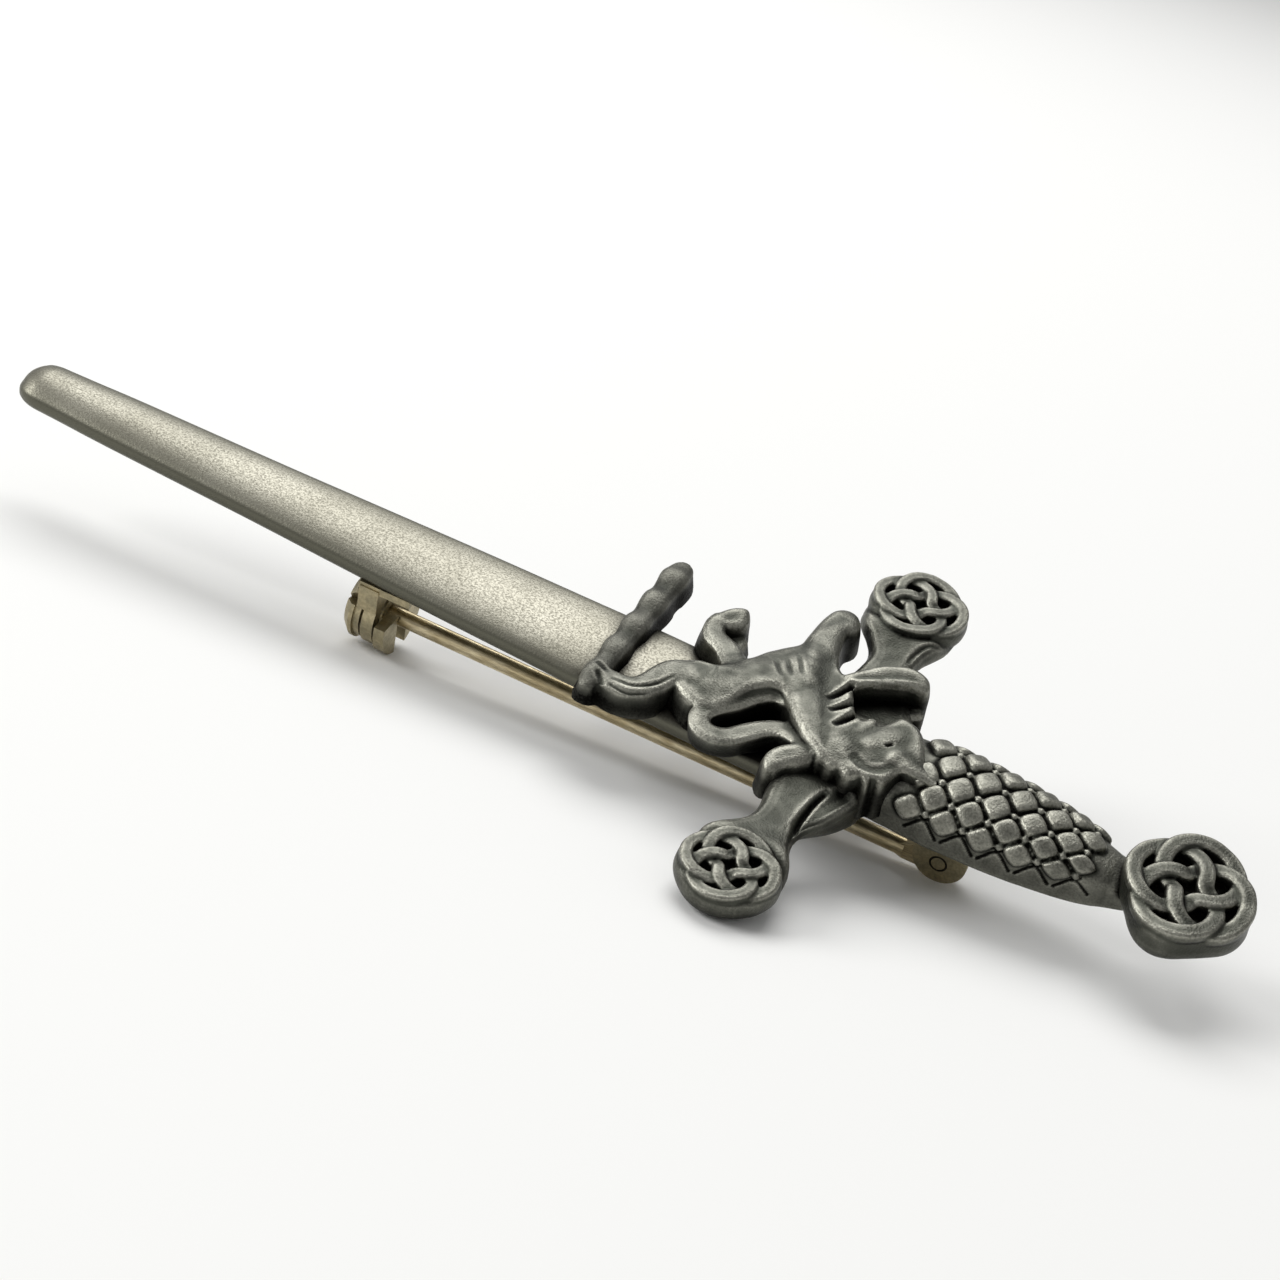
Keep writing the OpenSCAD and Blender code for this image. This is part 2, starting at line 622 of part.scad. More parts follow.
module hinge_shape() {
    difference() {
        union() {
            translate([-hinge_plate_lead, -hinge_plate_w / 2, -plate_t])
                cube([hinge_plate_l, hinge_plate_w, plate_t]);
            for (side = [-1, 1])
                translate([0, side > 0 ? ear_outer : -ear_inner, 0])
                    rotate([90, 0, 0])
                        linear_extrude(ear_t) {
                            translate([0, -ear_depth + ear_w / 2])
                                circle(d = ear_w, $fn = round_fn);
                            translate([-ear_w / 2, -ear_depth + ear_w / 2])
                                square([ear_w, ear_depth - ear_w / 2 - plate_t / 2]);
                        }
        }
        translate([0, hinge_plate_w, -rivet_depth])
            rotate([90, 0, 0])
                cylinder(h = 2 * hinge_plate_w, r = rivet_r + ear_clearance, $fn = round_fn);
    }
}

module rivet_shape() {
    translate([0, ear_outer, -rivet_depth])
        rotate([90, 0, 0])
            cylinder(h = 2 * ear_outer, r = rivet_r, $fn = round_fn);
}

// The wire's end is flattened and rolled into an eye, so the wire leaves low on it
module stem_shape() {
    neck_low = rivet_depth - stem_depth - stem_r;
    taper_start = stem_tip + point_taper;
    difference() {
        union() {
            translate([0, eye_t / 2, -rivet_depth])
                rotate([90, 0, 0])
                    linear_extrude(eye_t) {
                        circle(r = eye_r, $fn = round_fn);
                        polygon([[0, neck_low + EYE_LOW], [0, EYE_TOP * eye_r], [-eye_r, EYE_BACK * eye_r],
                                 [-wire_start, neck_low + stem_d],
                                 [-wire_start - wire_lap, neck_low + stem_d - EYE_LOW],
                                 [-wire_start - wire_lap, neck_low + EYE_LOW],
                                 [-wire_start, neck_low], [-eye_r, neck_low]]);
                    }
            along_x(taper_start, -wire_start, stem_d);
            along_x(stem_tip, taper_start, tip_d, stem_d);
        }
        translate([0, eye_t, -rivet_depth])
            rotate([90, 0, 0])
                cylinder(h = 2 * eye_t, r = rivet_r + eye_clearance, $fn = round_fn);
    }
}

// Plate, cover and band in one piece; the band is open towards -z
module catch_shape() {
    cover_left = lock_left + flange_t + cover_gap;
    cover_w = 2 * band_r - COVER_INSET;
    cover_h = stem_depth - band_r / 2;
    mouth_w = slot_w + MOUTH_EXTRA;
    difference() {
        union() {
            translate([band_left - catch_plate_lead, -catch_plate_w / 2, -plate_t])
                cube([catch_plate_l, catch_plate_w, plate_t]);
            translate([cover_left, -cover_w / 2, -cover_h])
                cube([band_right - cover_left, cover_w, cover_h - plate_t / 2]);
            along_x(band_left, band_right, 2 * band_r);
        }
        along_x(lock_left, lock_right, barrel_d + 2 * barrel_clearance);
        along_x(lock_left, band_left, collar_d + 2 * cover_gap);
        translate([lock_left, -mouth_w / 2, -stem_depth - 2 * band_r])
            cube([lock_right - lock_left, mouth_w, 2 * band_r]);
    }
}

// Share of the thumb flange's thickness that is bevelled
THUMB_DOME = 0.65;

// Barrel, collar and two flanges in one piece, with its slot open towards -z
module lock_shape() {
    dome = THUMB_DOME * flange_t;
    difference() {
        union() {
            along_x(lock_left + flange_t / 2, lock_right - flange_t / 2, barrel_d);
            along_x(lock_left, lock_left + dome, thumb_d - 2 * dome, thumb_d);
            along_x(lock_left + dome, lock_left + flange_t, thumb_d);
            along_x(lock_left + flange_t / 2, lock_left + flange_t + collar_w, collar_d);
            along_x(lock_right - flange_t, lock_right, flange_d);
        }
        along_x(lock_left - 1, lock_right + 1, lock_bore_d);
        translate([lock_left - 1, -slot_w / 2, -stem_depth - flange_d])
            cube([lock_right - lock_left + 2, slot_w, flange_d]);
        // Thumb notch and flat of the thumb flange
        translate([lock_left - 1, 0, -stem_depth])
            rotate([-notch_angle, 0, 0])
                translate([0, -thumb_d / 2 - 0.01, 0])
                    rotate([90, 0, 90])
                        linear_extrude(1 + flange_t)
                            polygon([[0, -notch_w / 2], [notch_depth, 0], [0, notch_w / 2]]);
        translate([lock_left - 1, -thumb_d, thumb_flat - stem_depth])
            cube([1 + flange_t + collar_w, 2 * thumb_d, thumb_d]);
        // Flat of the other flange and of the barrel's end beside it
        translate([band_right + side_gap / 2, -flange_d, flange_flat - stem_depth])
            cube([flange_t + side_gap + 1, 2 * flange_d, flange_d]);
    }
}

// Resting attitude

// The pin touches the surface with a flange, an ear and a boss. Each is a centre and
// a radius in the casting's frame, so the touching plane follows from the sizes.
function fitting_place(p) = [
    hinge_x + p.x * cos(fitting_skew) - p.y * sin(fitting_skew),
    p.x * sin(fitting_skew) + p.y * cos(fitting_skew),
    p.z
];
boss_body_r = knot_reach(boss_knot_r) + boss_strand / 2 + knot_rim;
flange_centre = fitting_place([lock_right, 0, -stem_depth]);
ear_centre = fitting_place([0, -ear_outer, -ear_depth + ear_w / 2]);
boss_centre = [0, -boss_span / 2 - boss_body_r + EDGE_R, boss_lift + EDGE_R];

function unit(v) = v / norm(v);
// Points that touch a floor with normal n
function flange_touch(n) = flange_centre - unit([0, n.y, n.z]) * flange_d / 2;
function ear_touch(n) = ear_centre - unit([n.x, 0, n.z]) * ear_w / 2;
function boss_touch(n) = boss_centre - n * EDGE_R;
function floor_normal(n, rounds) = rounds == 0 ? n : floor_normal(
    unit(cross(ear_touch(n) - boss_touch(n), flange_touch(n) - boss_touch(n))), rounds - 1);
floor_n = floor_normal([0, 0, 1], 12);
lie_roll = atan2(floor_n.y, floor_n.z);
lie_pitch = -atan2(floor_n.x, norm([floor_n.y, floor_n.z]));
floor_depth = -floor_n * ear_touch(floor_n);

function turned(p) = let(
    y = p.y * cos(lie_roll) - p.z * sin(lie_roll),
    z = p.y * sin(lie_roll) + p.z * cos(lie_roll)
) [p.x * cos(lie_pitch) + z * sin(lie_pitch), y, z * cos(lie_pitch) - p.x * sin(lie_pitch)];

// Middle of the pin's outline as it lies, from the ends of the sword and of the guard
boss_side = boss_lift + EDGE_R;
sword_ends = [turned([-blade_reach, 0, BACK_BEVEL]),
              turned([pommel_reach + pommel_body_r, 0, boss_side])];
guard_ends = [turned([0, -boss_span / 2 - boss_body_r, boss_side]),
              turned([0, boss_span / 2 + boss_body_r, boss_side])];
lie_x = (sword_ends[0].x + sword_ends[1].x) / 2;
lie_y = (guard_ends[0].y + guard_ends[1].y) / 2;

module lying() {
    translate([-lie_x, -lie_y, floor_depth])
        rotate([lie_roll, lie_pitch, 0])
            children();
}

module fitted() {
    lying()
        translate([hinge_x, 0, 0])
            rotate(fitting_skew)
                children();
}

module sword_casting() {
    color("#8f8d84") lying() sword();
}

module hinge_block() {
    color("#6b6250") fitted() hinge_shape();
}

module hinge_rivet() {
    color("#7d745c") fitted() rivet_shape();
}

module pin_stem() {
    color("#75684a") fitted() stem_shape();
}

module catch_base() {
    color("#7a6f55") fitted() catch_shape();
}

module catch_lock() {
    color("#8a8064") fitted() lock_shape();
}

sword_casting();
hinge_block();
hinge_rivet();
pin_stem();
catch_base();
catch_lock();
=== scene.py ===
# %% [markdown]
# # A kilt pin: sword, rampant lion and turning catch
# The real pin is one pewter casting with a brass hinge, wire and catch on its back.
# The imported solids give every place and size. This script makes finer shapes and
# finishes over them. All shapes are worked out in millimetres in the casting's own
# frame, where the flat back lies at z = 0, and are turned over to the way that the
# pin lies on the table at the very end. That keeps the numbers readable.

# %% Load the frame
import math
import bmesh
import bpy
import numpy as np
from mathutils import Matrix, Vector, noise


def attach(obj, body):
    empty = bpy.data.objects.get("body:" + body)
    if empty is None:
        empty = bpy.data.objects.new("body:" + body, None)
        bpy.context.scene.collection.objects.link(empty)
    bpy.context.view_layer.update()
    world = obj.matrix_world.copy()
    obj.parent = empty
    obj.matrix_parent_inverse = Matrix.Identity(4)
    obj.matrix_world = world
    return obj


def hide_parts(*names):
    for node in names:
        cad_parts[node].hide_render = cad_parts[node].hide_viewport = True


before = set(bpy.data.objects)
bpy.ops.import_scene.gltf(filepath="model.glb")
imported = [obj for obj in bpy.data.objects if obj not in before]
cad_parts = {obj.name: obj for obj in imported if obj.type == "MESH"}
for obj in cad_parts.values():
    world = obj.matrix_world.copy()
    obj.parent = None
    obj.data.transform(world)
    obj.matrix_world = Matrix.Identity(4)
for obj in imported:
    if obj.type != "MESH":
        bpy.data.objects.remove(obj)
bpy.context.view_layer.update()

# %% [markdown]
# ## From the casting's frame to the table
# The pin rests on its catch, its hinge and one boss, so it leans. Two turns and a
# shift bring the casting's frame to the table, and a thousandth makes metres.

# %% Where the pin lies
ROLL, PITCH = math.radians(19.8575), math.radians(2.94916)
SHIFT = (17.8273, 0.883171, 5.03945)
LYING = (Matrix.Scale(0.001, 4) @ Matrix.Translation(SHIFT)
         @ Matrix.Rotation(PITCH, 4, "Y") @ Matrix.Rotation(ROLL, 4, "X"))


def moved(points, matrix):
    grid = np.array(matrix)
    return np.asarray(points, float) @ grid[:3, :3].T + grid[:3, 3]


print("table normal in the casting's frame", np.round(np.array(LYING)[2, :3] * 1000, 4))

# %% [markdown]
# ## Tools for making shapes
# A skin joins a row of rings, the way a lofted hull joins its ribs. A smooth curve
# through a short table gives the ribs between the listed ones.

# %% Skins and curves
def smooth_rows(rows, steps):
    """A smooth curve through rows of numbers, with so many steps from row to row."""
    rows = np.asarray(rows, float)
    last = len(rows) - 1
    made = []
    for i in range(last):
        a, b, c, d = rows[max(i - 1, 0)], rows[i], rows[i + 1], rows[min(i + 2, last)]
        for t in np.arange(steps) / steps:
            made.append(0.5 * (2 * b + (c - a) * t + (2 * a - 5 * b + 4 * c - d) * t ** 2
                               + (3 * b - a - 3 * c + d) * t ** 3))
    return np.array(made + [rows[-1]])


def skin(rings):
    """Vertices and faces of a closed skin through rings of equal length."""
    count, n = len(rings), len(rings[0])
    points = np.concatenate(rings)
    at = np.arange(count * n).reshape(count, n)
    a, b = at[:-1], at[1:]
    quads = np.stack([a, b, np.roll(b, -1, 1), np.roll(a, -1, 1)], -1).reshape(-1, 4)
    faces = [tuple(q) for q in quads.tolist()]
    faces += [tuple(at[0].tolist()), tuple(at[-1][::-1].tolist())]
    return points, faces


def new_object(name, points, faces):
    """An object from points and faces, with every face turned outwards."""
    mesh = bpy.data.meshes.new(name)
    mesh.from_pydata(np.asarray(points).tolist(), [], faces)
    bm = bmesh.new()
    bm.from_mesh(mesh)
    bmesh.ops.recalc_face_normals(bm, faces=bm.faces)
    bm.to_mesh(mesh)
    bm.free()
    made = bpy.data.objects.new(name, mesh)
    bpy.context.scene.collection.objects.link(made)
    return made


def vertices(mesh):
    """The places of a mesh's vertices, one row each."""
    points = np.empty(len(mesh.vertices) * 3)
    mesh.vertices.foreach_get("co", points)
    return points.reshape(-1, 3)


def normals(mesh):
    """The way out of the surface at each vertex."""
    made = np.empty(len(mesh.vertices) * 3)
    mesh.vertices.foreach_get("normal", made)
    return made.reshape(-1, 3)


def put(mesh, points):
    mesh.vertices.foreach_set("co", np.ascontiguousarray(points).ravel())
    mesh.update()


print("a skin through 3 rings of 4 has", len(skin([np.zeros((4, 3))] * 3)[1]), "faces")

# %% [markdown]
# ## Casting the parts into one
# A casting has no seams: where two forms meet, the metal runs from one to the other
# in a small fillet. The Remesh modifier in voxel mode does the same. It drops every
# inner wall and pours one new surface over all that is joined, and a Smooth
# modifier then takes off the stair steps.

# %% Join and pour
def evaluated_mesh(item, name):
    """The mesh that an object has once its modifiers have run."""
    graph = bpy.context.evaluated_depsgraph_get()
    made = bpy.data.meshes.new_from_object(item.evaluated_get(graph))
    made.name = name
    return made


def drop(item):
    mesh = item.data
    bpy.data.objects.remove(item)
    bpy.data.meshes.remove(mesh)


def pour(name, parts, voxel, rounds=3):
    """One closed mesh over all the parts, in millimetres."""
    bm = bmesh.new()
    for part in parts:
        bm.from_mesh(part.data)
        drop(part)
    mesh = bpy.data.meshes.new(name)
    bm.to_mesh(mesh)
    bm.free()
    made = bpy.data.objects.new(name, mesh)
    bpy.context.scene.collection.objects.link(made)
    remesh = made.modifiers.new("pour", "REMESH")
    remesh.mode, remesh.voxel_size = "VOXEL", voxel
    remesh.use_smooth_shade = True
    smooth = made.modifiers.new("smooth", "SMOOTH")
    smooth.factor, smooth.iterations = 0.5, rounds
    made.data = evaluated_mesh(made, name)
    made.modifiers.clear()
    bpy.data.meshes.remove(mesh)
    print(name, len(made.data.vertices), "vertices,", 2 * len(made.data.polygons), "triangles")
    return made


def tree_result(item, tree, values):
    """Runs a node tree on an object, with its named inputs set, and keeps a plain mesh."""
    modifier = item.modifiers.new(tree.name, "NODES")
    modifier.node_group = tree
    for socket in tree.interface.items_tree:
        if socket.in_out == "INPUT" and socket.name in values:
            modifier[socket.identifier] = values[socket.name]
    old = item.data
    item.data = evaluated_mesh(item, item.name)
    item.modifiers.clear()
    bpy.data.meshes.remove(old)
    return item


def add(tree, kind, inputs=None, **settings):
    """Adds a node, sets it, and fills or links its inputs."""
    made = tree.nodes.new(kind)
    for key, value in settings.items():
        setattr(made, key, value)
    for key, value in (inputs or {}).items():
        if isinstance(value, bpy.types.NodeSocket):
            tree.links.new(value, made.inputs[key])
        else:
            made.inputs[key].default_value = value
    return made


def new_tree(name, sizes, counts=()):
    """An empty geometry tree with a geometry in and out, and named sizes and counts."""
    tree = bpy.data.node_groups.new(name, "GeometryNodeTree")
    tree.interface.new_socket("Geometry", in_out="INPUT", socket_type="NodeSocketGeometry")
    tree.interface.new_socket("Geometry", in_out="OUTPUT", socket_type="NodeSocketGeometry")
    for label in (*sizes, *counts):
        kind = "NodeSocketInt" if label in counts else "NodeSocketFloat"
        tree.interface.new_socket(label, in_out="INPUT", socket_type=kind)
    return tree, tree.nodes.new("NodeGroupInput"), tree.nodes.new("NodeGroupOutput")


print("tools for pouring are ready")

# %% [markdown]
# ## Metals
# Pewter is a soft tin alloy. This casting was dipped black and then rubbed, so the
# black stays in the hollows and the high spots shine. Each vertex of the casting
# carries two numbers: how deep it lies in a hollow, with painted shade on steep walls
# added, and how far it stands out as a crest, with painted highlights added. The
# material reads them as attributes.

# %% Colours
def srgb(code):
    """A hex colour in linear light, opaque."""
    parts = [int(code[i:i + 2], 16) / 255 for i in (1, 3, 5)]
    return [c / 12.92 if c <= 0.04045 else ((c + 0.055) / 1.055) ** 2.4 for c in parts] + [1]


def new_metal(name, roughness):
    material = bpy.data.materials.new(name)
    material.use_nodes = True
    tree = material.node_tree
    shader = tree.nodes["Principled BSDF"]
    shader.inputs["Metallic"].default_value = 1
    shader.inputs["Roughness"].default_value = roughness
    return material, tree, shader


def noise_at(tree, mm, detail=2.0, roughness=0.5):
    """Noise whose lumps are about mm across, from Object coordinates."""
    place = add(tree, "ShaderNodeTexCoord").outputs["Object"]
    return add(tree, "ShaderNodeTexNoise", {
        "Vector": place, "Scale": 1000 / mm, "Detail": detail, "Roughness": roughness}).outputs[0]


def ramp(tree, value, low, high, to_low=0.0, to_high=1.0):
    """Maps one range of a value to another, and holds at both ends."""
    return add(tree, "ShaderNodeMapRange", {
        "Value": value, "From Min": low, "From Max": high,
        "To Min": to_low, "To Max": to_high}).outputs[0]


def calc(tree, how, a, b=0.0, clamp=False):
    """One sum of two values."""
    return add(tree, "ShaderNodeMath", {0: a, 1: b}, operation=how, use_clamp=clamp).outputs[0]


def blend_colour(tree, amount, a, b):
    """Colour a where the amount is nought, and colour b where it is one."""
    made = add(tree, "ShaderNodeMix", {0: amount}, data_type="RGBA")
    for slot, value in ((6, a), (7, b)):
        if isinstance(value, bpy.types.NodeSocket):
            tree.links.new(value, made.inputs[slot])
        else:
            made.inputs[slot].default_value = value
    return made.outputs[2]


def carried(tree, name):
    """A number that each vertex carries."""
    return add(tree, "ShaderNodeAttribute", attribute_name=name).outputs["Fac"]


def roughen(tree, shader, height, strength, depth):
    """Fine bumps, with their depth in metres."""
    bump = add(tree, "ShaderNodeBump", {"Strength": strength, "Distance": depth, "Height": height})
    tree.links.new(bump.outputs[0], shader.inputs["Normal"])


print("mid grey is", [round(c, 3) for c in srgb("#808080")[:3]], "in linear light")

# %% [markdown]
# ## Antiqued pewter
# Cast pewter, blackened and rubbed back by hand. The eye gets near-black hollows, a
# dull dark grey on the flanks and a warm silver on crests. Steep walls get painted
# shade as dark as the hollows, and the lion's walls that face the viewer get a
# painted highlight. A cast grain of about 0.16 mm breaks the shine, and also says
# where the rubbing has caught.

# %% Antiqued pewter
def antiqued_pewter():
    material, tree, shader = new_metal("antiqued_pewter", 0.42)
    patina_and_shade = carried(tree, "patina_and_shade")
    crest = carried(tree, "crest")
    patch = noise_at(tree, 1.6, 3)
    grain = noise_at(tree, 0.16, 2, 0.6)
    # The crest number also holds the painted highlight on the lion's walls that face the viewer.
    rubbed = calc(tree, "MULTIPLY", crest, ramp(tree, patch, 0.3, 0.7, 0.6, 1.1))
    rubbed = calc(tree, "MULTIPLY", rubbed, ramp(tree, grain, 0.3, 0.7, 0.55, 1.4))
    body = blend_colour(tree, ramp(tree, patch, 0.35, 0.65), srgb("#3d3e38"), srgb("#4e4f48"))
    bright = blend_colour(tree, rubbed, body, srgb("#a09f94"))
    # Near-black patina in hollows, and painted shade on steep walls.
    black_patina_and_shade = calc(tree, "MULTIPLY", patina_and_shade, ramp(tree, grain, 0.3, 0.7, 0.85, 1.15), clamp=True)
    colour = blend_colour(tree, black_patina_and_shade, bright, srgb("#0b0a08"))
    tree.links.new(colour, shader.inputs["Base Color"])
    tree.links.new(ramp(tree, black_patina_and_shade, 0, 1, 0.40, 0.62), shader.inputs["Roughness"])
    roughen(tree, shader, grain, 0.8, 0.00006)
    return material


pewter = antiqued_pewter()
print(pewter.name)

# %% [markdown]
# ## Blasted pewter on the blade
# The blade's face was blasted with fine grit and left satin. The eye gets a pale
# satin face with dark specks of patina about 0.15 mm across, a painted highlight
# along its middle that fades towards the edges and the point, and painted shade on
# its sides.

# %% Blasted pewter
def blasted_pewter():
    material, tree, shader = new_metal("blasted_pewter", 0.42)
    patina_and_shade = carried(tree, "patina_and_shade")
    crest = carried(tree, "crest")
    speck = noise_at(tree, 0.15, 1, 0.6)
    cloud = noise_at(tree, 5, 3)
    plain = blend_colour(tree, ramp(tree, cloud, 0.35, 0.65), srgb("#9a978a"), srgb("#aba89b"))
    specked = blend_colour(tree, ramp(tree, speck, 0.6, 0.34, 0.0, 0.6), plain, srgb("#5f5c51"))
    # Painted shade on the sides and bevels, and a painted highlight along the face's middle.
    face_and_shaded_sides = blend_colour(tree, crest, srgb("#605f54"), specked)
    colour = blend_colour(tree, patina_and_shade, face_and_shaded_sides, srgb("#1d1b17"))
    tree.links.new(colour, shader.inputs["Base Color"])
    tree.links.new(ramp(tree, speck, 0.3, 0.7, 0.5, 0.36), shader.inputs["Roughness"])
    roughen(tree, shader, speck, 0.5, 0.00003)
    return material


blasted = blasted_pewter()
print(blasted.name)

# %% [markdown]
# ## Plated brass and wire
# The findings are stamped and turned brass with a thin dull plate. The eye gets a
# soft olive grey that turns brown in places, and a dark ring of grime in the seam
# round the rivet. The wire is drawn, so it is paler and faint lines run along it.

# %% Plated brass and wire
# Place, axis and radius of the rivet, in metres on the table.
RIVET, RIVET_WAY = (0.027776, 0.001851, 0.001843), (0.0121, -0.94013, -0.34061)
RIVET_R = 0.00058
SEAM_NONE, SEAM_FULL = 0.0001, 0.00005
LINE_MM = 0.12


def seam_around(tree, place, way, radius):
    """One on a ring about an axis: grime in the seam round a rivet."""
    here = add(tree, "ShaderNodeTexCoord").outputs["Object"]
    away = add(tree, "ShaderNodeVectorMath", {0: here, 1: place}, operation="SUBTRACT")
    aside = add(tree, "ShaderNodeVectorMath", {0: away.outputs[0], 1: way},
                operation="CROSS_PRODUCT")
    far = add(tree, "ShaderNodeVectorMath", {0: aside.outputs[0]}, operation="LENGTH")
    off = calc(tree, "SUBTRACT", far.outputs["Value"], radius)
    return ramp(tree, calc(tree, "ABSOLUTE", off), SEAM_NONE, SEAM_FULL)


def plated_brass():
    material, tree, shader = new_metal("dull_plated_brass", 0.42)
    patch = noise_at(tree, 1.1, 4, 0.6)
    grain = noise_at(tree, 0.2, 2)
    base = blend_colour(tree, ramp(tree, patch, 0.35, 0.68), srgb("#9a9278"), srgb("#bbae8c"))
    colour = blend_colour(tree, ramp(tree, grain, 0.6, 0.4, 0, 0.25), base, srgb("#5a5140"))
    seam = seam_around(tree, RIVET, RIVET_WAY, RIVET_R)
    colour = blend_colour(tree, seam, colour, srgb("#1c1913"))
    tree.links.new(colour, shader.inputs["Base Color"])
    tree.links.new(ramp(tree, patch, 0.3, 0.7, 0.5, 0.36), shader.inputs["Roughness"])
    roughen(tree, shader, grain, 0.3, 0.00002)
    return material


def drawn_wire():
    material, tree, shader = new_metal("drawn_wire", 0.34)
    place = add(tree, "ShaderNodeTexCoord").outputs["Object"]
    drawn_out = add(tree, "ShaderNodeMapping", {"Vector": place, "Scale": (0.12, 1, 1)})
    lines = add(tree, "ShaderNodeTexNoise", {
        "Vector": drawn_out.outputs[0], "Scale": 1000 / LINE_MM, "Detail": 2.0}).outputs[0]
    patch = noise_at(tree, 2.4, 3)
    base = blend_colour(tree, ramp(tree, patch, 0.4, 0.65), srgb("#c2b38f"), srgb("#ddd0ae"))
    colour = blend_colour(tree, ramp(tree, lines, 0.58, 0.4, 0, 0.45), base, srgb("#857454"))
    tree.links.new(colour, shader.inputs["Base Color"])
    roughen(tree, shader, lines, 0.3, 0.00002)
    return material


brass, wire_metal = plated_brass(), drawn_wire()
print(brass.name, wire_metal.name)

# %% [markdown]
# ## The blade
# A flat-backed blade with a crowned face and a bevel down each side. Its width comes
# from a short table of shares, and the point rounds off like a quarter circle. One
# skin through many ribs gives the long clean highlight that a voxel mesh would spoil.

# %% Blade
REACH, BLADE_W, POINT_W, POINT_LEN = 66.7, 8.3, 4.4, 2.7
BLADE_T, BLADE_RISE = 1.6, 0.45
NEAR_BLUNT, FAR_BLUNT = 2.3, 9
# Share of the reach, and share of the width between the point's and the guard's.
BLADE_WIDTH = np.array([[0, 1], [0.21, 1], [0.3, 0.92], [0.42, 0.8], [0.56, 0.6], [0.68, 0.42],
                        [0.86, 0.22], [0.93, 0.1], [1, 0]])
# Steps outwards from the edge, with a height each, from the back up to the face.
NEAR_SIDE = [(-0.5, 0), (-0.12, 0.1), (0, 0.35), (0, 0.7), (-0.06, 1), (-0.3, 1.2), (-0.55, 1.32)]
FAR_SIDE = [(-0.5, 0), (-0.12, 0.1), (0, 0.35), (0, 0.7), (-0.04, 1), (-0.16, 1.2), (-0.4, 1.32)]


def blade_half(x, blunt=NEAR_BLUNT):
    """Half the width at a distance from the guard; a greater blunt squares the point."""
    table = smooth_rows(BLADE_WIDTH, 6)
    width = POINT_W + (BLADE_W - POINT_W) * np.interp(x / REACH, table[:, 0], table[:, 1])
    past = max((x - REACH + POINT_LEN) / POINT_LEN, 0)
    return width / 2 * max(1 - past ** blunt, 0.001) ** 0.45


def blade_rib(x, across=19):
    """A rib from the near edge over the crowned face to the far edge."""
    w, far_w = blade_half(x), blade_half(x, FAR_BLUNT)
    thin = min(1, 0.3 + 0.7 * w / (POINT_W / 2))
    small = min(1, w / 1.2)
    near = [(-w - dy * small, z) for dy, z in NEAR_SIDE]
    far = [(far_w + dy * small, z) for dy, z in FAR_SIDE]
    share = np.linspace(0, 1, across)[1:-1]
    line = near[-1][0] + (far[-1][0] - near[-1][0]) * share
    crown = near[-1][1] + (far[-1][1] - near[-1][1]) * share
    crown = crown + BLADE_RISE * (1 - (2 * share - 1) ** 2)
    ys = [y for y, _ in near] + line.tolist() + [y for y, _ in far[::-1]]
    zs = [z for _, z in near] + crown.tolist() + [z for _, z in far[::-1]]
    return np.stack([np.full(len(ys), -x), ys, np.array(zs) * thin], 1)


straight = np.linspace(2, REACH - POINT_LEN, 180)
rounded = REACH - POINT_LEN + POINT_LEN * np.sin(np.linspace(0.02, 1, 30) * math.pi / 2)
blade = new_object("blade", *skin([blade_rib(x) for x in np.concatenate([straight, rounded])]))
print("blade", len(blade.data.vertices), "vertices, half width at 30 mm", round(blade_half(30), 2))

# %% [markdown]
# ## Guard and bosses
# The guard's arms narrow to a waist and then swell into two round bosses. Arms and
# bosses are rings again, and the knots on top are a job for Geometry Nodes.

# %% Guard arms and boss bodies
SPAN, LIFT, EDGE_R, ROUND = 32, 1.5, 1.1, 96
# Distance from the sword's middle, left edge, right edge, top and back.
ARM_ROWS = [[0, -2.1, 4.6, 2.9, 0], [4, -2, 4.6, 2.9, 0], [6, -1.6, 4.1, 2.9, 0.3],
            [7.6, -1.3, 3.5, 2.85, 0.85], [9, -1.12, 2.6, 2.85, 1.2], [10.2, -1.25, 2.3, 2.9, 1.45],
            [11.4, -1.95, 2.5, 3.05, 1.5], [12.4, -2.75, 2.9, 3.25, 1.5],
            [13.1, -3.15, 3.2, 3.2, 1.5], [13.8, -3.35, 3.4, 2.85, 1.5], [15, -3.5, 3.5, 2.7, 1.5]]


def arm_ring(row, side):
    distance, left, right, top, back = row
    edge = [(0.4, back), (0, back + 0.45), (0.03, top - 0.9), (0.18, top - 0.35),
            (0.5, top - 0.08), (1, top)]
    xs = [left + e for e, _ in edge] + [right - e for e, _ in edge[::-1]]
    zs = [z for _, z in edge] + [z for _, z in edge[::-1]]
    return np.stack([xs, np.full(len(xs), side * distance), zs], 1)


def lobed(radius, inset, stretch, turn, lobe, count=ROUND):
    """A round outline with four soft lobes, drawn in by an inset."""
    a = np.linspace(0, 2 * math.pi, count, endpoint=False)
    q = radius * (1 - lobe + lobe * np.cos(4 * a)) - inset
    return np.stack([q * np.cos(a + turn), stretch * q * np.sin(a + turn)], 1)


def boss_body(place, radius, rim, ground, stretch, turn, lobe):
    """A body with a rounded lower edge, a wall, a rolled rim and a sunk ground."""
    levels = [(EDGE_R * (1 - math.sin(t)), LIFT + EDGE_R * (1 - math.cos(t)))
              for t in np.linspace(0, math.pi / 2, 7)]
    levels += [(0.04, rim - 0.5), (0.1, rim - 0.28), (0.24, rim - 0.09), (0.45, rim),
               (0.8, rim - 0.05), (0.95, ground)]
    return new_object("boss", *skin([
        np.column_stack([lobed(radius, inset, stretch, turn, lobe) + place,
                         np.full(ROUND, z)]) for inset, z in levels]))


guard_parts = [new_object("arm", *skin([arm_ring(r, side) for r in smooth_rows(ARM_ROWS, 5)]))
               for side in (-1, 1)]
print("guard arms from", len(ARM_ROWS), "rows each")

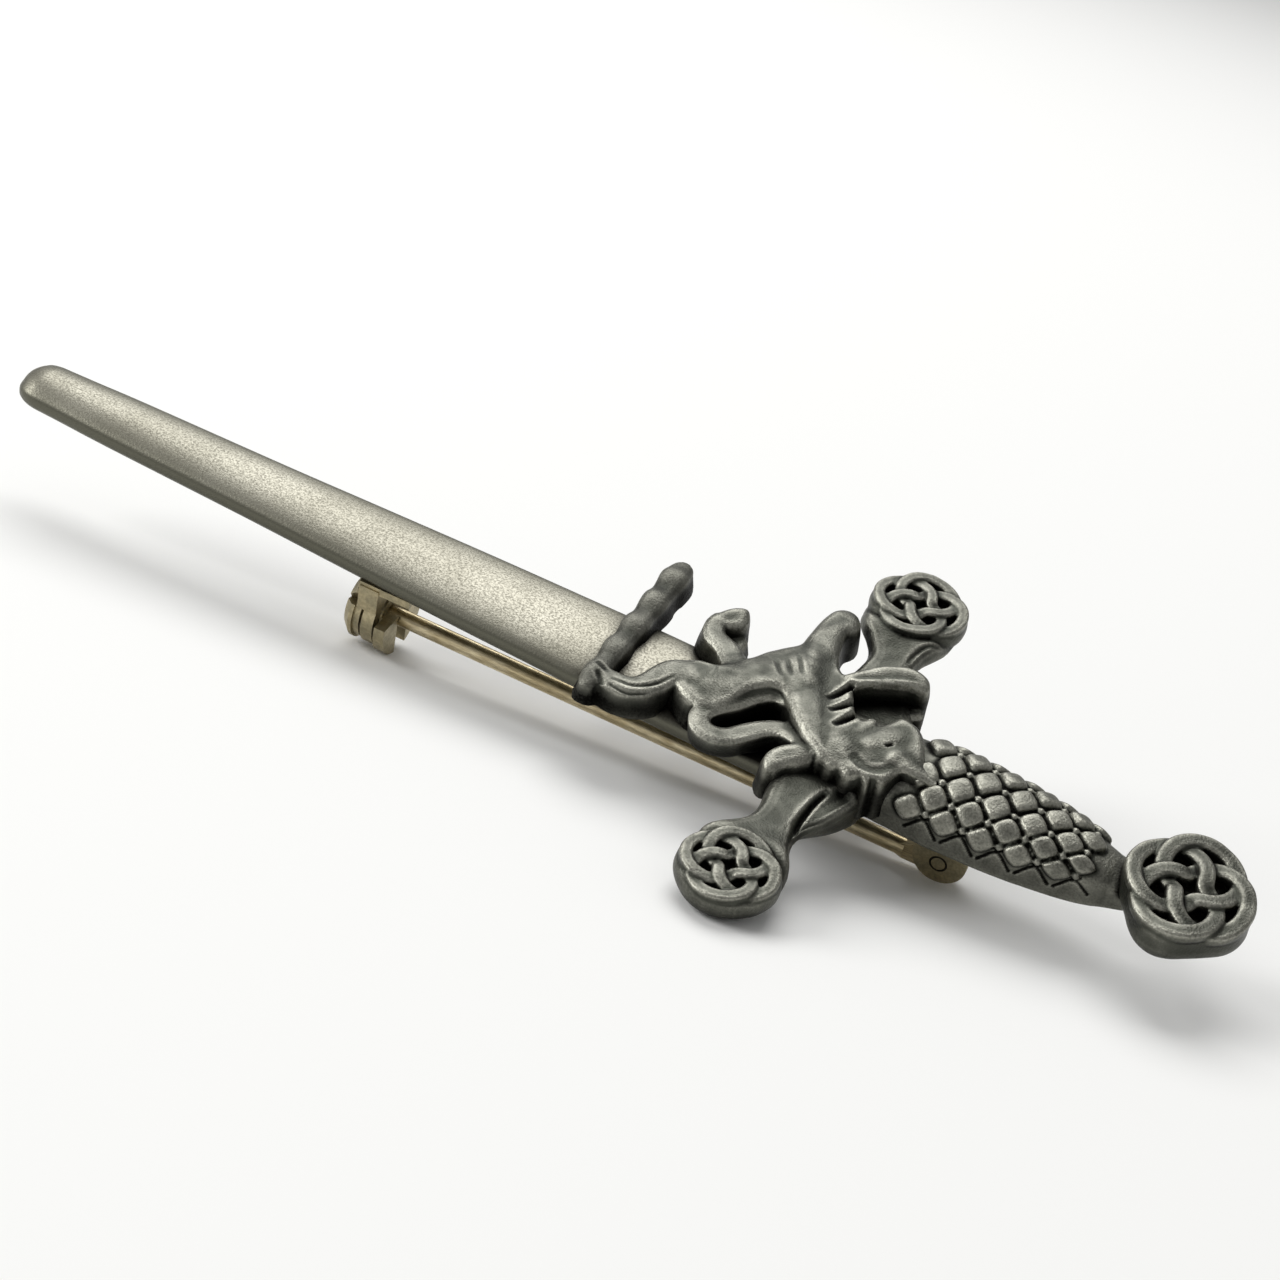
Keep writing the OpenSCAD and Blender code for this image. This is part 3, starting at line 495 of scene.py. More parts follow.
# %% [markdown]
# ## The knots
# Each knot is a Turk's head: one endless strand that goes three times round with four
# bights, over and under in turn. One formula gives its middle line, so a tree can bend
# a circle along it and sweep a round section. Three copies differ only in their inputs.

# %% Knot tree
SWING, SQUARE, KNOT_LIFT = 0.42, -0.04, 0.2
KNOT_POINTS = 288


def knot_tree():
    """Bends a circle into the knot's middle line and sweeps a strap along it."""
    tree, given, result = new_tree(
        "endless_knot", ("Radius", "Strand", "Crest", "Turn", "Stretch"), ("Points",))

    def sums(how, a, b=0.0, c=0.0):
        return add(tree, "ShaderNodeMath", {0: a, 1: b, 2: c}, operation=how).outputs[0]

    size = given.outputs
    circle = add(tree, "GeometryNodeCurvePrimitiveCircle", {"Resolution": size["Points"]})
    step = sums("DIVIDE", add(tree, "GeometryNodeInputIndex").outputs[0], size["Points"])
    turn = sums("MULTIPLY", step, 2 * math.pi)
    swing = sums("MULTIPLY", sums("COSINE", sums("MULTIPLY", turn, 4.0)), SWING)
    square = sums("MULTIPLY", sums("COSINE", sums("MULTIPLY", turn, 8.0)), SQUARE)
    share = sums("ADD", sums("ADD", swing, square), 1 - SWING / 2 + SQUARE / 2)
    radius = sums("MULTIPLY", share, size["Radius"])
    angle = sums("MULTIPLY_ADD", turn, 3.0, size["Turn"])
    x = sums("MULTIPLY", radius, sums("COSINE", angle))
    y = sums("MULTIPLY", sums("MULTIPLY", radius, sums("SINE", angle)), size["Stretch"])
    wave = sums("SUBTRACT", sums("SINE", sums("MULTIPLY", turn, 8.0)), 1.0)
    lift = sums("MULTIPLY", sums("MULTIPLY", wave, size["Strand"]), KNOT_LIFT)
    height = sums("ADD", sums("MULTIPLY_ADD", size["Strand"], -0.5, size["Crest"]), lift)
    place = add(tree, "ShaderNodeCombineXYZ", {0: x, 1: y, 2: height})
    bent = add(tree, "GeometryNodeSetPosition",
               {"Geometry": circle.outputs[0], "Position": place.outputs[0]})
    upright = add(tree, "GeometryNodeSetCurveNormal", {"Curve": bent.outputs[0]}, mode="Z_UP")
    strap = add(tree, "GeometryNodeCurvePrimitiveQuadrilateral", {
        "Width": sums("MULTIPLY", size["Strand"], 1.2),
        "Height": sums("MULTIPLY", size["Strand"], 0.8)})
    section = add(tree, "GeometryNodeFilletCurve", {
        "Curve": strap.outputs[0], "Count": 4, "Radius": sums("MULTIPLY", size["Strand"], 0.24)},
        mode="POLY")
    swept = add(tree, "GeometryNodeCurveToMesh",
                {"Curve": upright.outputs[0], "Profile Curve": section.outputs[0]})
    real = add(tree, "GeometryNodeRealizeInstances", {0: swept.outputs[0]})
    tree.links.new(add(tree, "GeometryNodeSetMaterial",
                       {"Geometry": real.outputs[0], "Material": pewter}).outputs[0],
                   result.inputs[0])
    return tree


def knot(place, radius, strand, crest, turn, stretch):
    made = new_object("knot", np.zeros((0, 3)), [])
    tree_result(made, knot_made, {"Radius": radius, "Strand": strand, "Crest": crest,
                                  "Turn": turn, "Stretch": stretch, "Points": KNOT_POINTS})
    put(made.data, vertices(made.data) + (place[0], place[1], 0))
    return made


knot_made = knot_tree()


def knotted_boss(place, body_r, radius, strand, crest, turn, stretch=1.0, lobe=0.015):
    body = boss_body(place, body_r, crest - 0.5, crest - 1.15 * strand, stretch, turn, lobe)
    return [body, knot(place, radius, strand, crest, turn, stretch)]


# Side, turn in degrees, radius of the body and radius of the knot.
BOSSES = ((-1, -2, 3.58, 2.6), (1, -5, 3.72, 2.78))
BOSS_X, BOSS_STRAND, BOSS_CREST = 0.08, 0.72, 3.9
POMMEL_X, POMMEL_R, POMMEL_KNOT_R = 26, 4.55, 3.42
POMMEL_STRAND, POMMEL_CREST, POMMEL_TURN = 0.98, 4.65, math.radians(-10)
for side, turn, body_r, radius in BOSSES:
    guard_parts += knotted_boss((BOSS_X, side * SPAN / 2), body_r, radius, BOSS_STRAND,
                                BOSS_CREST, math.radians(turn))
pommel_parts = knotted_boss((POMMEL_X, 0), POMMEL_R, POMMEL_KNOT_R, POMMEL_STRAND,
                            POMMEL_CREST, POMMEL_TURN, stretch=1.18, lobe=0.06)
print("knot strand", len(pommel_parts[1].data.vertices), "vertices")

# %% [markdown]
# ## The grip
# The grip swells like a thigh and is quilted: rows of pillows with a pellet wherever
# their grooves cross. The core is a skin. The pillows follow its surface, so they are
# points with a direction each, and a tree sets one pillow on every point.

# %% Grip core
GRIP_END = POMMEL_X - POMMEL_R
GRIP_W, NECK_W, GRIP_TOP, FLANK, PITCH_MM = 7.4, 3.4, 4.1, 1.7, 2.62
GRIP_Y, SQUARENESS, GRIP_END_RISE = 0.2, 0.8, 1.3
# Share of the length, share of the width between neck and swell, share of the height.
GRIP_ROWS = np.array([[0, 0.8, 0.82], [0.25, 0.95, 0.95], [0.42, 1, 1], [0.52, 0.95, 1],
                      [0.65, 0.85, 0.98], [0.76, 0.68, 0.95], [0.86, 0.46, 0.9],
                      [0.95, 0.18, 0.8], [1, 0.05, 0.74], [1.1, 0.1, 0.72]])
grip_table = smooth_rows(GRIP_ROWS, 5)


def grip_half(u):
    return (NECK_W + (GRIP_W - NECK_W) * np.interp(u, grip_table[:, 0], grip_table[:, 1])) / 2


def grip_point(u, t):
    """A point on the grip: u is the share along it, t the degrees over its top."""
    crest = GRIP_TOP * np.interp(u, grip_table[:, 0], grip_table[:, 2])
    c, s = math.cos(math.radians(t)), math.sin(math.radians(t))
    over, up = (math.copysign(abs(k) ** SQUARENESS, k) for k in (c, s))
    return np.array([u * GRIP_END, GRIP_Y + grip_half(u) * over, FLANK + (crest - FLANK) * up])


def grip_ring(u):
    """A rib of the core, which rises at its end so that the pommel hides it."""
    w = grip_half(u)
    rise = GRIP_END_RISE * max(0, (u - 0.94) / 0.16) ** 1.5
    low = [[u * GRIP_END, GRIP_Y + w - 0.4, rise], [u * GRIP_END, GRIP_Y + w, 0.4 + rise]]
    arc = [grip_point(u, t) for t in np.linspace(0, 180, 21)]
    return np.array(low + arc + [[p[0], 2 * GRIP_Y - p[1], p[2]] for p in low[::-1]])


core = new_object("grip_core", *skin([grip_ring(u) for u in np.linspace(0, 1.1, 40)]))
print("grip core", len(core.data.vertices), "vertices, end at", round(GRIP_END, 2), "mm")

# %% [markdown]
# ## The quilting
# A rounded cube, stood on one corner of its plan, is a pillow. Each point carries
# the way out of the grip, the way along it and the size of its pillow.

# %% Quilt tree
def quilt_tree():
    tree, given, result = new_tree("quilt", ("Pillow length", "Pillow height", "Squareness"))
    size = given.outputs
    block = add(tree, "GeometryNodeMeshCube", {
        "Size": (2, 2, 2), "Vertices X": 2, "Vertices Y": 2, "Vertices Z": 2})
    pillow = add(tree, "GeometryNodeSubdivisionSurface", {
        "Mesh": block.outputs[0], "Level": 3, "Edge Crease": size["Squareness"]})
    diamond = add(tree, "GeometryNodeTransform", {
        "Geometry": pillow.outputs[0], "Rotation": (0, 0, math.pi / 4)})
    shaped = add(tree, "GeometryNodeTransform", {
        "Geometry": diamond.outputs[0],
        "Scale": add(tree, "ShaderNodeCombineXYZ", {
            0: size["Pillow length"], 1: size["Pillow length"],
            2: size["Pillow height"]}).outputs[0]})

    def read(name, kind="FLOAT_VECTOR"):
        return add(tree, "GeometryNodeInputNamedAttribute", {"Name": name},
                   data_type=kind).outputs[0]

    lean = add(tree, "FunctionNodeAxesToRotation",
               {"Primary Axis": read("out"), "Secondary Axis": read("along")},
               primary_axis="Z", secondary_axis="X")
    spread = add(tree, "GeometryNodeInstanceOnPoints", {
        "Points": given.outputs[0], "Instance": shaped.outputs[0],
        "Rotation": lean.outputs[0], "Scale": read("size")})
    real = add(tree, "GeometryNodeRealizeInstances", {0: spread.outputs[0]})
    tree.links.new(add(tree, "GeometryNodeSetMaterial",
                       {"Geometry": real.outputs[0], "Material": pewter}).outputs[0],
                   result.inputs[0])
    return tree


def quilt_points(name, rows):
    """A cloud of points on the grip: each row gives u, angle and the pillow's own size."""
    points, out, along, size = [], [], [], []
    for u, t, wide, long, high in rows:
        p = grip_point(u, t)
        ex, ey = grip_point(u + 0.01, t) - p, grip_point(u, t + 1) - p
        points.append(p)
        along.append(ex / np.linalg.norm(ex))
        out.append(np.cross(ex, ey) / np.linalg.norm(np.cross(ex, ey)))
        size.append((long, wide, high))
    made = new_object(name, points, [])
    for label, values in (("out", out), ("along", along), ("size", size)):
        made.data.attributes.new(label, "FLOAT_VECTOR", "POINT").data.foreach_set(
            "vector", np.array(values).ravel())
    return made


# For each side, the rows of pillows: degrees from the top, and width.
SPOKES = {0: [(4.5, 1.75), (32, 1.7), (60, 1.5)], 1: [(15, 1.7), (40, 1.5), (67, 1.35)]}
pillow_rows, pellet_rows = [], []
for side, spokes in SPOKES.items():
    for k, (spread_angle, wide) in enumerate(spokes):
        for i in range(int(GRIP_END / PITCH_MM) + 1):
            u = (i + 0.3 + (0 if (k + side) % 2 == 0 else 0.5)) * PITCH_MM / GRIP_END
            t = 90 - spread_angle if side == 0 else 90 + spread_angle
            narrow = grip_half(u) / (GRIP_W / 2)
            if 0.3 < u < 0.95 and narrow > 0.5:
                pillow_rows.append((u, t, wide * 0.7 * narrow, PITCH_MM * 0.4, 1))
                u_between = u + PITCH_MM / GRIP_END / 2
                if u_between < 0.9:
                    pellet_rows.append((u_between, t, 0.3, 0.3, 1))
quilt = quilt_tree()
pillows = tree_result(quilt_points("pillows", pillow_rows), quilt,
                      {"Pillow length": 0.87, "Pillow height": 0.5, "Squareness": 0.27})
pellets = tree_result(quilt_points("pellets", pellet_rows), quilt,
                      {"Pillow length": 1.0, "Pillow height": 0.3, "Squareness": 0.1})
print(len(pillow_rows), "pillows and", len(pellet_rows), "pellets")

# %% [markdown]
# ## The lion
# The lion is a flat relief. Body, mane, face and one foreleg are one plate with a
# steep wall and a worn shoulder, so one outline with a height at each corner gives
# them all. Thinner limbs are ridges along a middle line. All forms are poured into
# one here. The step after it rubs them round, swells the body and cuts the details.

# %% Plate tables
# The lion's feet are at -FOOT, and its walls start at LIMB_FOOT and lean out by DRAFT.
FOOT, RELIEF, LIMB_FOOT, DRAFT = 16, 3.5, 0.9, 0.22
# Steps inwards and downwards that wear the shoulder of a plate.
SHOULDER = ((-0.06, 1), (0, 0.62), (0.08, 0.3), (0.22, 0.1), (0.45, 0))
# Each corner of an outline: x, y and the height of the top.
BODY_NEAR = [[-11.2, -1.6, 3.3], [-10.5, -2.9, 3.45], [-8.9, -3.8, 3.5], [-7.3, -3.6, 3.6],
             [-6.5, -2.7, 3.9], [-5.7, -1, 4.15], [-4.9, -0.1, 4.3], [-4, 0.1, 4.45],
             [-3.1, -0.8, 4.6], [-2.2, -1.9, 4.65], [-1, -3.1, 4.65], [0.3, -3.9, 4.6]]
MANE_EDGE = [[0.75, -4.3, 4.5], [1.2, -4.3, 4.5], [1.7, -4.5, 4.45], [2.3, -4.3, 4.5],
             [3, -4.7, 4.4], [3.5, -4.4, 4.5], [3.9, -4.2, 4.5], [4.5, -4.5, 4.4],
             [4.7, -3.8, 4.5], [5.3, -3.8, 4.5], [5.7, -3, 4.5], [6.1, -2.1, 4.6],
             [6.8, -1.9, 4.5], [7.95, -1.5, 4.2], [7.2, -0.6, 4.6], [6.7, 0.4, 4.8]]
FACE_EDGE = [[6.1, 1.6, 4.85], [5.2, 2.45, 4.85], [4, 2.6, 4.85], [3.4, 1.8, 4.75],
             [2.8, 0.9, 4.7], [2, 0.8, 4.7], [1.2, 1.2, 4.7], [0.6, 2.3, 4.65],
             [0.1, 3.3, 4.6], [-0.5, 4.2, 4.5]]
FAR_LEG = [[-1.5, 5, 4.3], [-2.1, 6.2, 4.1], [-2.5, 7.4, 4], [-2.8, 9.2, 3.9], [-2.4, 10.2, 3.75],
           [-2.5, 11.2, 3.65], [-3.2, 12.1, 3.6], [-4.1, 12.2, 3.6], [-4.8, 11.3, 3.75],
           [-5.1, 9.6, 3.9], [-5.15, 7.3, 4], [-5.3, 5.9, 4]]
BODY_FAR = [[-6.7, 4.2, 3.9], [-7.6, 2.2, 3.9], [-8.4, 1, 3.8], [-9.3, 0.6, 3.7],
            [-10.4, 0.55, 3.55], [-11.4, -0.2, 3.35]]
UPPER_FORELEG = [[-1.4, 3.9, 4.5], [-0.9, 4.75, 4.7], [-0.1, 5.8, 4.8], [1.1, 7.05, 4.9],
                 [2.6, 7.75, 4.9], [3.9, 7.6, 4.8], [4.45, 6.9, 4.65], [4.3, 6.2, 4.65],
                 [3.3, 5.95, 4.8], [1.9, 5.1, 4.8], [0.6, 4.1, 4.75], [-0.3, 3.3, 4.7]]
TUFT = [[-1.9, -6.6, 3.65], [-2.5, -5.6, 3.85], [-2.1, -4.3, 4], [-1, -3.4, 4.1],
        [0.2, -3.3, 4.1], [0.9, -3.8, 4.1], [0.2, -4.7, 3.9], [-0.7, -5.5, 3.85], [-1.2, -6.4, 3.7]]
PAW = [[-11.7, 4.9, 3.5], [-11.5, 6.2, 3.55], [-10.9, 7.2, 3.55], [-10.1, 7.8, 3.5],
       [-9.6, 7.5, 3.45], [-9.25, 6.6, 3.4], [-9.4, 5.7, 3.4], [-10.2, 4.9, 3.5]]
print("corners in the body's outline", len(BODY_NEAR + MANE_EDGE + FACE_EDGE + FAR_LEG + BODY_FAR))

# %% Limb tables
# Each row: distance from the feet, y, half the width and the crest's share of RELIEF.
STANDING_LEG = [[8, -0.6, 2, 0.5], [6.3, -1, 1.6, 0.56], [4.8, -1.5, 1.35, 0.54],
                [4.1, -2.9, 1.2, 0.49], [3.4, -4, 1.1, 0.46], [2.3, -4.5, 1.05, 0.43],
                [0.8, -4.4, 1, 0.4]]
RAISED_LEG = [[9.2, 0.4, 1.3, 0.55], [8, 1.6, 1.1, 0.6], [6.7, 2.9, 1, 0.57], [5.4, 3.7, 0.95, 0.54],
              [4.9, 4.7, 0.85, 0.53], [5, 5.7, 0.8, 0.53]]
LEG_HOLLOW = [[7.2, 2.6, 1, 0.3], [6.7, 4.2, 0.9, 0.22], [6.5, 5.6, 0.8, 0.2]]
FORELEG_SHELF = [[16.1, 3.4, 0.7, 0.27], [17.5, 4.4, 0.75, 0.29], [19, 5.2, 0.8, 0.31],
                 [20.3, 5.9, 0.75, 0.36]]
TAIL = [[12.7, -0.3, 0.35, 0.66], [11.7, -0.05, 0.5, 0.64], [10.7, -0.8, 0.6, 0.62],
        [9.8, -2, 0.7, 0.59], [8.95, -2.8, 0.8, 0.56], [8.3, -3.6, 0.85, 0.52],
        [8.2, -4.4, 0.85, 0.49], [8.7, -5.1, 0.88, 0.47], [9.6, -5.25, 0.88, 0.46],
        [10.6, -4.8, 0.88, 0.46], [11.4, -3.8, 0.88, 0.48], [12.4, -2.8, 0.85, 0.54],
        [13.4, -2.4, 0.8, 0.6], [14.6, -2.7, 0.8, 0.66], [15.4, -3.3, 0.75, 0.68]]
MUZZLE = [[18.9, -1.4, 1, 0.9], [19.6, -0.5, 1.1, 0.935], [20.3, 0.5, 1, 0.94],
          [20.8, 1.5, 0.8, 0.92]]
JAW = [[18.1, -0.6, 0.7, 0.9], [18.35, 0.4, 0.5, 0.91], [18.5, 1, 0.35, 0.9]]
EAR = [[21, -1.2, 0.9, 0.93], [22, -1.3, 0.85, 0.9], [23.2, -1.45, 0.6, 0.85],
       [24.2, -1.6, 0.35, 0.78]]

# %% Limbs
def limb(table, dome=0.42, steps=8, foot=LIMB_FOOT, draft=DRAFT):
    """A ridge along a table of rows, with rounded ends and leaning walls."""
    rows = smooth_rows([[x - FOOT, y, w, BLADE_T + z * RELIEF] for x, y, w, z in table], steps)
    way = np.gradient(rows[:, :2], axis=0)
    way /= np.linalg.norm(way, axis=1)[:, None]
    rings = []
    for end in (0, None, -1):
        if end is None:
            spots = [(row, d, 0.0) for row, d in zip(rows, way)]
        else:
            turns = np.linspace(1.45, 0.2, 5) if end == 0 else np.linspace(0.2, 1.45, 5)
            spots = [(rows[end], way[end], (-1 if end == 0 else 1) * a) for a in turns]
        for (x, y, half, crest), d, a in spots:
            x, y = x + d[0] * half * 0.6 * math.sin(a), y + d[1] * half * 0.6 * math.sin(a)
            half = half * math.cos(a)
            crest = crest - min(half, 1) * 0.5 * (1 - math.cos(a))
            round_top = min(half * dome, crest - foot - 0.05)
            t = np.linspace(0, math.pi, 15)
            side = (half - 0.06) * np.sign(np.cos(t)) * np.abs(np.cos(t)) ** 0.8
            high = crest - round_top + round_top * np.abs(np.sin(t)) ** 0.8
            low = max(half + draft, 0.02)
            side = np.concatenate([[low], side, [-low]])
            high = np.concatenate([[foot], high, [foot]])
            rings.append(np.stack([x + d[1] * side, y - d[0] * side, high], 1))
    return new_object("limb", *skin(rings))


def foot_bar():
    """The bar that the lion stands on, in five waves."""
    u = np.linspace(0, 1, 41)
    wave = (1 - np.cos(u * 10 * math.pi)) / 2
    half = 0.8 + 0.25 * u ** 0.7 + 0.14 * wave
    half[[0, -1]] -= 0.15
    high = 0.34 + 0.09 * wave
    return limb(np.stack([0.2 - 0.25 * u, -5.7 + 15.5 * u, half, high], 1), 0.75, 2)


def plate(outline):
    """A flat-topped form inside an outline, with a steep wall and a worn shoulder."""
    edge = smooth_rows(outline + [outline[0]], 4)[:-1]
    along = np.roll(edge, -1, 0) - np.roll(edge, 1, 0)
    inwards = np.stack([-along[:, 1], along[:, 0]], 1)
    inwards /= np.linalg.norm(inwards, axis=1)[:, None]
    rings = [np.column_stack([edge[:, :2] - DRAFT * inwards, np.full(len(edge), LIMB_FOOT)])]
    for inset, down in SHOULDER:
        rings.append(np.column_stack([edge[:, :2] + inset * inwards, edge[:, 2] - down]))
    return new_object("plate", *skin(rings))


# The tail's ridge starts higher than a limb's, and its walls lean inwards.
TAIL_DOME, TAIL_FOOT, TAIL_DRAFT = 0.3, 1.45, -0.35
LION_VOXEL, VOXEL = 0.11, 0.1
plates = [plate(t) for t in (BODY_NEAR + MANE_EDGE + FACE_EDGE + FAR_LEG + BODY_FAR,
                             UPPER_FORELEG[::-1], TUFT[::-1], PAW[::-1])]
limbs = [limb(t) for t in (STANDING_LEG, RAISED_LEG, LEG_HOLLOW, FORELEG_SHELF, MUZZLE, JAW, EAR)]
limbs.append(limb(TAIL, TAIL_DOME, foot=TAIL_FOOT, draft=TAIL_DRAFT))
lion = pour("lion", plates + limbs + [foot_bar()], LION_VOXEL)
guard = pour("guard", guard_parts, VOXEL)
grip = pour("grip", [core, pillows, pellets], VOXEL, rounds=2)
pommel = pour("pommel", pommel_parts, VOXEL)

# %% [markdown]
# ## Wear, swells and cuts
# These tools move the vertices of a poured mesh. Wear rubs a top round. A cut is a
# line with a width and a depth: every vertex near it sinks, most at its middle, and
# only where the surface looks up. A swell is a cut turned upwards. Unevenness is
# soft noise.

# %% Tools for wear and cuts
LOWEST_CUT = 1.7


def neighbour_mean(mesh, points, rounds):
    """Each point after so many rounds of taking the mean of its neighbours."""
    edges = np.empty(len(mesh.edges) * 2, int)
    mesh.edges.foreach_get("vertices", edges)
    a, b = edges.reshape(-1, 2).T
    count = np.bincount(a, minlength=len(points)) + np.bincount(b, minlength=len(points))
    for _ in range(rounds):
        points = np.stack([(np.bincount(a, points[b, k], len(points))
                            + np.bincount(b, points[a, k], len(points))) / np.maximum(count, 1)
                           for k in range(3)], 1)
    return points


def wear(item, rounds, above):
    """Rubs the top of a relief round, most where it stands free."""
    points, up = vertices(item.data), normals(item.data)[:, 2]
    share = np.clip((up - 0.45) * 3, 0, 1) * (points[:, 2] > above)
    rubbed = neighbour_mean(item.data, points, rounds)
    put(item.data, points + (rubbed - points) * share[:, None] * 0.85)


def line_distance(points, line):
    """Distance from each point to a line of corners, and the share of the way along it."""
    best, share = np.full(len(points), 1e9), np.zeros(len(points))
    line = np.asarray(line, float)
    for i, (a, b) in enumerate(zip(line[:-1], line[1:])):
        along = b - a
        t = np.clip((points - a) @ along / (along @ along), 0, 1)
        gap = np.linalg.norm(points - a - t[:, None] * along, axis=1)
        near = gap < best
        best[near], share[near] = gap[near], (i + t[near]) / (len(line) - 1)
    return best, share


def cut(item, line, width, depth, above=LOWEST_CUT, taper=True):
    """Sinks a line into the surface that looks up and lies above a height."""
    mesh = item.data
    points, up = vertices(mesh), normals(mesh)[:, 2]
    gap, share = line_distance(points[:, :2], smooth_rows(line, 4))
    fade = {True: np.sin(np.clip(share, 0.02, 0.98) * math.pi) ** 0.6,
            "open": np.clip(share * 1.3, 0, 1),
            "body": 0.6 + 0.4 * np.sin(np.clip(share, 0, 1) * math.pi)}.get(taper, 1)
    sink = depth * fade * np.clip(1 - (gap / width) ** 2, 0, 1) ** 1.5
    points[:, 2] -= sink * np.clip(up * 1.5, 0, 1) * (points[:, 2] > above)
    put(mesh, points)


def uneven(item, mm, height):
    """Lifts and sinks the surface a little, as a hand-made mould leaves it."""
    points, out = vertices(item.data), normals(item.data)
    amount = np.array([noise.noise(Vector(p / mm)) for p in points])
    put(item.data, points + out * (amount * height)[:, None])


def swell(item, line, width, height):
    """Raises a soft body along a line: a cut turned upwards."""
    cut(item, line, width, -height, above=2.4, taper="body")


def engrave(item, line, width, depth):
    """A scratch along a line in space, into whichever way the surface faces."""
    points, out = vertices(item.data), normals(item.data)
    gap, share = line_distance(points, line)
    sink = depth * np.clip(1 - (gap / width) ** 2, 0, 1)
    put(item.data, points - out * sink[:, None])


print("tools for cuts are ready")

# %% [markdown]
# ## Soft forms
# The lion's edges are rubbed round, and its flank, chest and foreleg are swelled.
# Then every cast piece gets the slight unevenness of a hand-made mould.

# %% Wear and swells
LUMP_MM = 1.3
wear(lion, rounds=12, above=1.7)
swell(lion, [[-9.8, -1.4], [-8, -1.2], [-6.6, 0.6], [-5, 2.2], [-4, 3.9]], width=2.6, height=0.34)
swell(lion, [[-3.4, 3.4], [-2, 1.2], [-0.6, -0.8], [1, -2.2]], width=2, height=0.3)
swell(lion, [[-3.6, 5.6], [-3.8, 8], [-3.7, 10.6]], width=1.2, height=0.2)
for item, height in ((lion, 0.045), (guard, 0.04), (grip, 0.03), (pommel, 0.04)):
    uneven(item, LUMP_MM, height)
print("lion worn and swelled, top at", round(float(vertices(lion.data)[:, 2].max()), 2), "mm")

# %% [markdown]
# ## Cut details
# Locks and ribs, the eye, toes and folds are cut into the lion. The guard gets two
# long furrows beside the lion and one by the far boss. The grip gets crossed
# scratches under its outer pillows.

# %% Cuts
CHEST_LOCKS = ([[14.9, 1.2], [15.4, 2.3], [15.8, 3.6]], [[15.5, 0.1], [16.1, 1], [16.7, 2.3]],
               [[16.4, -1.2], [16.8, -0.3], [17.2, 0.9]])
HEAD_BAND = [[2.4, -2.7], [3.6, -3.3], [4.6, -3.1], [5.3, -2.3], [5.6, -1.2]]
RIBS = ([[10.3, 2.9], [11.3, 1.4]], [[10.9, 3.4], [11.9, 1.8]], [[11.5, 4.1], [12.5, 2.3]])
EYE = [[20.25, -0.75], [20.45, -0.5]]
TOES = ([[0.3, -4.4], [1.3, -5.4]], [[-0.2, -3.6], [0.9, -4.1]])
FOLDS = ([[1.6, -4.6], [3.2, -4.4], [4.3, -3.4], [5, -2.2]],
         [[1.5, -5.1], [3, -5.2], [4.3, -4.4]])
FURROW = [[2.3, -5.4], [2.02, -6.6], [1.9, -7.9], [1.92, -9.4], [2.2, -10.9]]
DISH = [[3.3, -5.2], [2.75, -6.6], [2.4, -8], [2.3, -9.2]]
FAR_FURROW = [[1.7, 10.1], [1.75, 11.2], [2.15, 12.3], [3, 13.2]]
# Where a scratch starts and how far it runs, in shares of the quilt's pitch.
CROSSED = ((0.38, 0.92), (0.62, 0.08))


def from_feet(line):
    """A line measured from the lion's feet, in the casting's frame."""
    return [(x - FOOT, y) for x, y in line]


for lock in CHEST_LOCKS:
    cut(lion, from_feet(lock), width=0.34, depth=0.6, taper="open")
cut(lion, HEAD_BAND, width=0.55, depth=0.14)
for rib in RIBS:
    cut(lion, from_feet(rib), width=0.25, depth=0.09)
cut(lion, from_feet(EYE), width=0.2, depth=0.16, taper=False)
for toe in TOES:
    cut(lion, from_feet(toe), width=0.3, depth=0.15, above=1.5)
for fold in FOLDS:
    cut(lion, from_feet(fold), width=0.2, depth=0.12, above=1.5)
cut(guard, FURROW, width=0.32, depth=0.45, above=1.9)
cut(guard, DISH, width=0.9, depth=0.3, above=1.9, taper=False)
cut(guard, FAR_FURROW, width=0.25, depth=0.15, above=1.9)
step = PITCH_MM / GRIP_END
for u, t, *_ in pillow_rows:
    if t > 155:
        for a, b in CROSSED:
            high, middle = grip_point(u + a * step, 160), grip_point(u + (a + b) / 2 * step, 172)
            low = grip_point(u + b * step, 180) - (0, 0, 0.35)
            engrave(grip, [high, middle, low], width=0.15, depth=0.09)
print(len(CHEST_LOCKS), "locks,", len(RIBS), "ribs,", len(TOES), "toes and", len(FOLDS), "folds cut")

# %% [markdown]
# ## Hollows and crests
# The black dip stays where a rubbing cloth doesn't reach. A height map of the whole
# casting, blurred by half a millimetre and by a whole one, says how far each point
# lies below what surrounds it. Crests are found on each mesh by itself, as points
# that stand proud of the mean of their neighbours.

# %% Height maps
# Map cells, blurs and the reach of a wall's shade, in millimetres.
CELL, NEAR_BLUR, WIDE_BLUR, SHADE_REACH = 0.1, 0.45, 1.1, 0.8
MAP_LOW, MAP_SIZE = np.array([-68.0, -21.5]), (1010, 430)


def height_map(items):
    grid = np.zeros(MAP_SIZE)
    for item in items:
        points = vertices(item.data)
        at = ((points[:, :2] - MAP_LOW) / CELL).astype(int)
        np.maximum.at(grid, (at[:, 0], at[:, 1]), points[:, 2])
    return grid


def highest_near(grid, cells):
    """The greatest height within so many cells."""
    for axis in (0, 1):
        grid = np.max([np.roll(grid, k, axis) for k in range(-cells, cells + 1)], axis=0)
    return grid


def blurred(grid, mm):
    """A map whose every cell is a weighted mean of the cells around it."""
    reach = int(3 * mm / CELL)
    kernel = np.exp(-0.5 * (np.arange(-reach, reach + 1) * CELL / mm) ** 2)
    kernel /= kernel.sum()
    for axis in (0, 1):
        grid = np.apply_along_axis(lambda row: np.convolve(row, kernel, "same"), axis, grid)
    return grid


